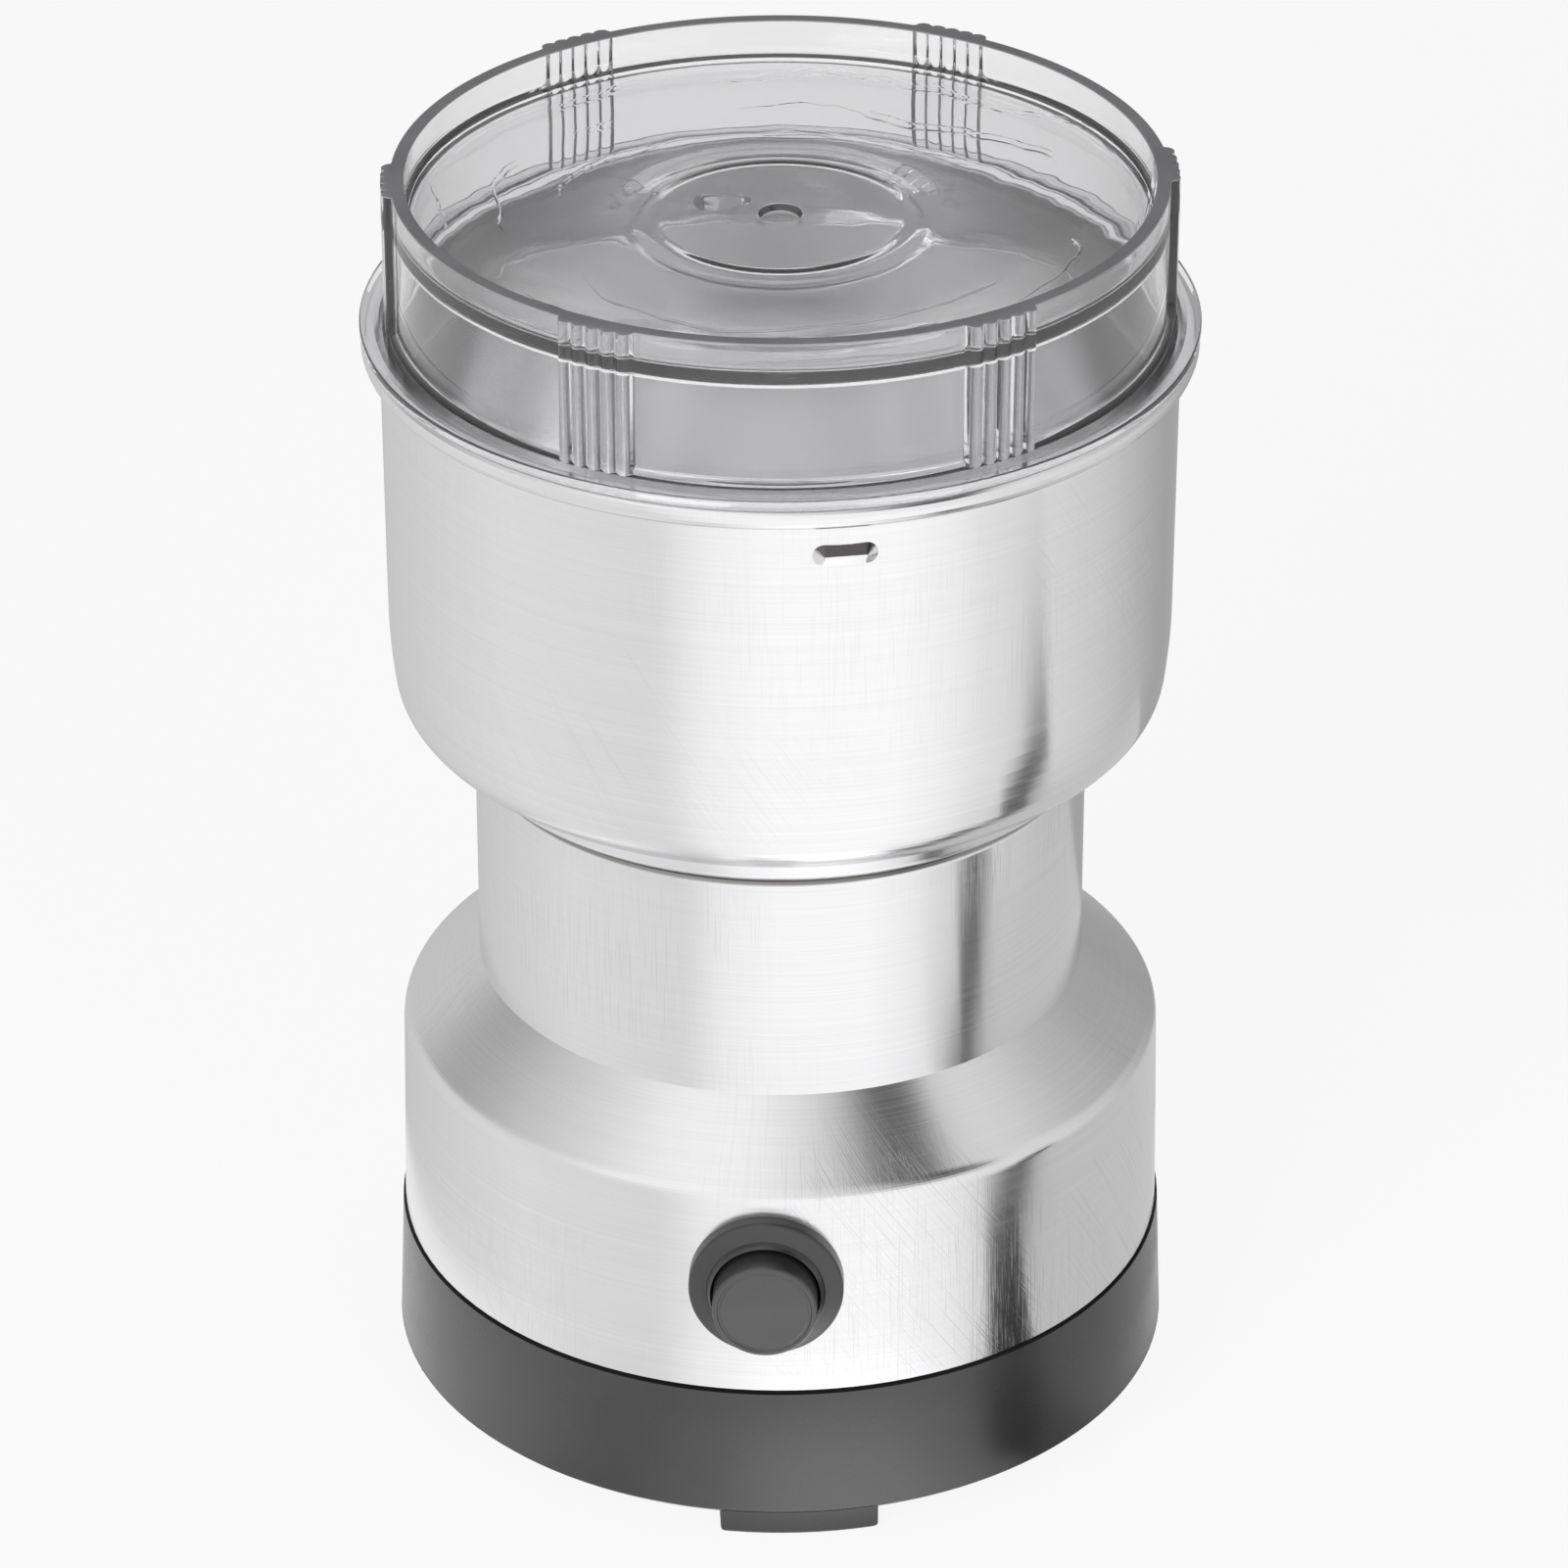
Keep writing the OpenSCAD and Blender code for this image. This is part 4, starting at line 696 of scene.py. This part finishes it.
dish_radii = [dish_out - (dish_out - disc_foot) * i / 28 for i in range(29)]
lid_dish = [(r, lid_floor(r)) for r in dish_radii]
lid_disc = [(disc_foot - (disc_foot - disc_top) * i / 12,
             dimple_floor + disc_rise * (1 - cos(pi * i / 12)) / 2) for i in range(1, 13)]
disc_level = dimple_floor + disc_rise
lid_plug = (
    [(wall_in, 161.0), (wall_in, 158.0), (45.85, 153.0), (46.13, 148.0), (46.15, 147.0),
     (46.15, 138.6)] + bend((46.35, 138.25), 0.2, 180, 270, 3)
    + [(46.6, 138.05), (47.2, 138.05), (47.35, 138.05), (47.62, 138.9), (47.65, 139.1),
       (47.65, 139.8), (47.65, 147.0), (47.65, 147.65)])
lid_flange = (
    [(48.0, 147.65), (50.9, 147.65)] + bend((51.25, 147.95), 0.3, -90, 0, 4)
    + bend((51.25, 148.5), 0.3, 0, 90, 4) + [(50.8, 148.8), (48.8, 148.8)])
lid_wall = (
    bend((48.4, 149.8), 1.0, -90, -180, 6)
    + [(wall_out, height) for height in (150.2, 153.0, 160.0, 166.4, 166.8)]
    + bend((47.25, 167.05), 0.15, 0, 90, 3) + [(47.1, rim_top), (45.95, rim_top)]
    + bend((45.8, 167.05), 0.15, 90, 180, 3)
    + [(45.66, 166.8), (45.7, 166.2), (wall_in, 164.3), (wall_in, 164.0)]
    + bend((dish_out, 163.8), 1.0, 0, -80, 6))
lid_dimple = (
    [(14.4, disc_level), (3.6, disc_level), (3.2, disc_level)]
    + bend((2.8, disc_level - 0.2), 0.2, 90, 180, 3) + bend((2.2, 161.2), 0.2, 0, -90, 3)
    + [(1.6, dimple_floor), (0, dimple_floor)])
lid_under = (
    [(0, disc_level - floor_wall), (14.4, disc_level - floor_wall)]
    + [(r, z - floor_wall) for r, z in lid_disc[::-1] + lid_dish[:0:-1]] + [(45.2, 161.25)])
lid_outline = lid_plug + lid_flange + lid_wall + lid_dish[1:] + lid_disc + lid_dimple + lid_under
pad_count, first_pad, pad_width, rib_pitch = 6, radians(-25), radians(12.47), radians(2.297)
pad_turn = 2 * pi / pad_count
lid_mesh = bmesh.new()
lid_chain = [lid_mesh.verts.new((0, -r / 1000, z / 1000)) for r, z in lid_outline]
lid_edges = [lid_mesh.edges.new(pair) for pair in zip(lid_chain, lid_chain[1:] + lid_chain[:1])
             if pair[0].co.xy.length + pair[1].co.xy.length > 0]
bmesh.ops.rotate(lid_mesh, verts=lid_chain,
                 matrix=Matrix.Rotation(first_pad - pad_width / 2, 3, "Z"))
lid_ring = lid_chain + lid_edges
for pad in range(pad_count):
    for reach, steps in ((pad_width, 65), (pad_turn - pad_width, 38)):
        turned = bmesh.ops.spin(lid_mesh, geom=lid_ring, axis=(0, 0, 1), angle=reach, steps=steps)
        lid_ring = turned["geom_last"]
bmesh.ops.remove_doubles(lid_mesh, verts=lid_mesh.verts, dist=1e-6)
# Each pad's five ribs are pushed out of the wall; their round backs meet in fine valleys
rib_radius, rib_centre, rib_foot, rib_head = 0.00105, 0.04745, 0.1488, 0.16719
for point in lid_mesh.verts:
    out, height = point.co.xy.length, point.co.z
    if out > 0.0472 and rib_foot < height < rib_head:
        turn = (atan2(point.co.x, -point.co.y) - first_pad) % pad_turn
        turn = turn - pad_turn if turn > pad_turn / 2 else turn
        rib = min(range(-2, 3), key=lambda n: abs(turn - n * rib_pitch))
        away = wall_out / 1000 * abs(turn - rib * rib_pitch)
        if away < rib_radius:
            back = rib_centre + (rib_radius ** 2 - away ** 2) ** 0.5
            reach = max(out, back - (0.0001 if height > 0.16715 else 0))
            point.co.xy = point.co.xy * (reach / out)
nub_place, nub_size = (0, -0.0477, 0.1404), (0.0054, 0.0012, 0.0016, 1)
for nub_turn in (radians(11), radians(191)):
    nub = bmesh.ops.create_cube(lid_mesh, size=1.0, matrix=Matrix.Rotation(nub_turn, 4, "Z")
                                @ Matrix.Translation(nub_place) @ Matrix.Diagonal(nub_size))
    nub_edges = list({edge for corner in nub["verts"] for edge in corner.link_edges})
    bmesh.ops.bevel(lid_mesh, geom=nub_edges, offset=0.0004, segments=3, profile=0.5,
                    affect="EDGES", material=-1)
bmesh.ops.recalc_face_normals(lid_mesh, faces=lid_mesh.faces)
clear_lid = put_in_scene("clear_lid", lid_mesh)
shade_smooth(clear_lid, radians(38))

clear_plastic, lid_tree, lid_paint = plain_finish("clear_plastic", (0.93, 0.927, 0.934), 0.015)
lid_paint.inputs["Transmission Weight"].default_value = 0.965
lid_paint.inputs["IOR"].default_value = 1.49
lid_out = vector(lid_tree, "LENGTH", vector(lid_tree, "MULTIPLY", own_place(lid_tree), (1, 1, 0)))
on_floor = between(lid_tree, lid_out, 1, 0, 0.0428, 0.0454)
lid_ripple = arithmetic(lid_tree, "MULTIPLY", grain(lid_tree, 60, 2, (1, 1, 1.4)), on_floor)
# Where the plastic flowed out from the gate and slowed, thin wavy lines run round the floor,
# line_pitch apart; they start outside the disc, and break off here and there
line_wander, line_pitch, line_width = 0.016, 0.0036, 0.00022
lid_wander = arithmetic(lid_tree, "MULTIPLY_ADD", grain(lid_tree, 38, 3, (1, 1, 0.2)),
                        line_wander, lid_out)
lid_front = arithmetic(lid_tree, "PINGPONG", lid_wander, line_pitch)
lid_line = between(lid_tree, lid_front, 1, 0, 0.0, line_width)
for lid_part in (between(lid_tree, lid_out, 0, 1, 0.024, 0.032), on_floor,
                 between(lid_tree, grain(lid_tree, 30, 1), 0, 1, 0.44, 0.56)):
    lid_line = arithmetic(lid_tree, "MULTIPLY", lid_line, lid_part)
lid_waves = emboss(lid_tree, lid_ripple, 0.0006, 0.3)
connect(lid_paint, normal=emboss(lid_tree, lid_line, 0.00007, 0.5, lid_waves))
lid_tint = lid_tree.nodes.new("ShaderNodeVolumeAbsorption")
lid_tint.inputs["Color"].default_value = (0.80, 0.795, 0.815, 1)
lid_tint.inputs["Density"].default_value = 60.0
lid_tree.links.new(lid_tint.outputs["Volume"], lid_tree.nodes["Material Output"].inputs["Volume"])
clear_lid.data.materials.append(clear_plastic)

# The very top of the rim, left matt by the mould
matt_above = 0.16696
matt_rim, rim_tree, rim_paint = plain_finish("matt_rim", (0.28, 0.27, 0.285), 0.4)
rim_cloud = between(rim_tree, grain(rim_tree, 90, 3), 0, 1)
connect(rim_paint, blended(rim_tree, rim_cloud, (0.25, 0.24, 0.255), (0.33, 0.32, 0.336)),
        normal=emboss(rim_tree, grain(rim_tree, 5000, 2), 0.00002, 0.5))
clear_lid.data.materials.append(matt_rim)
for face in clear_lid.data.polygons:
    if face.center.z > matt_above:
        face.material_index = 1
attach(clear_lid, "lid")
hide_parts("lid")
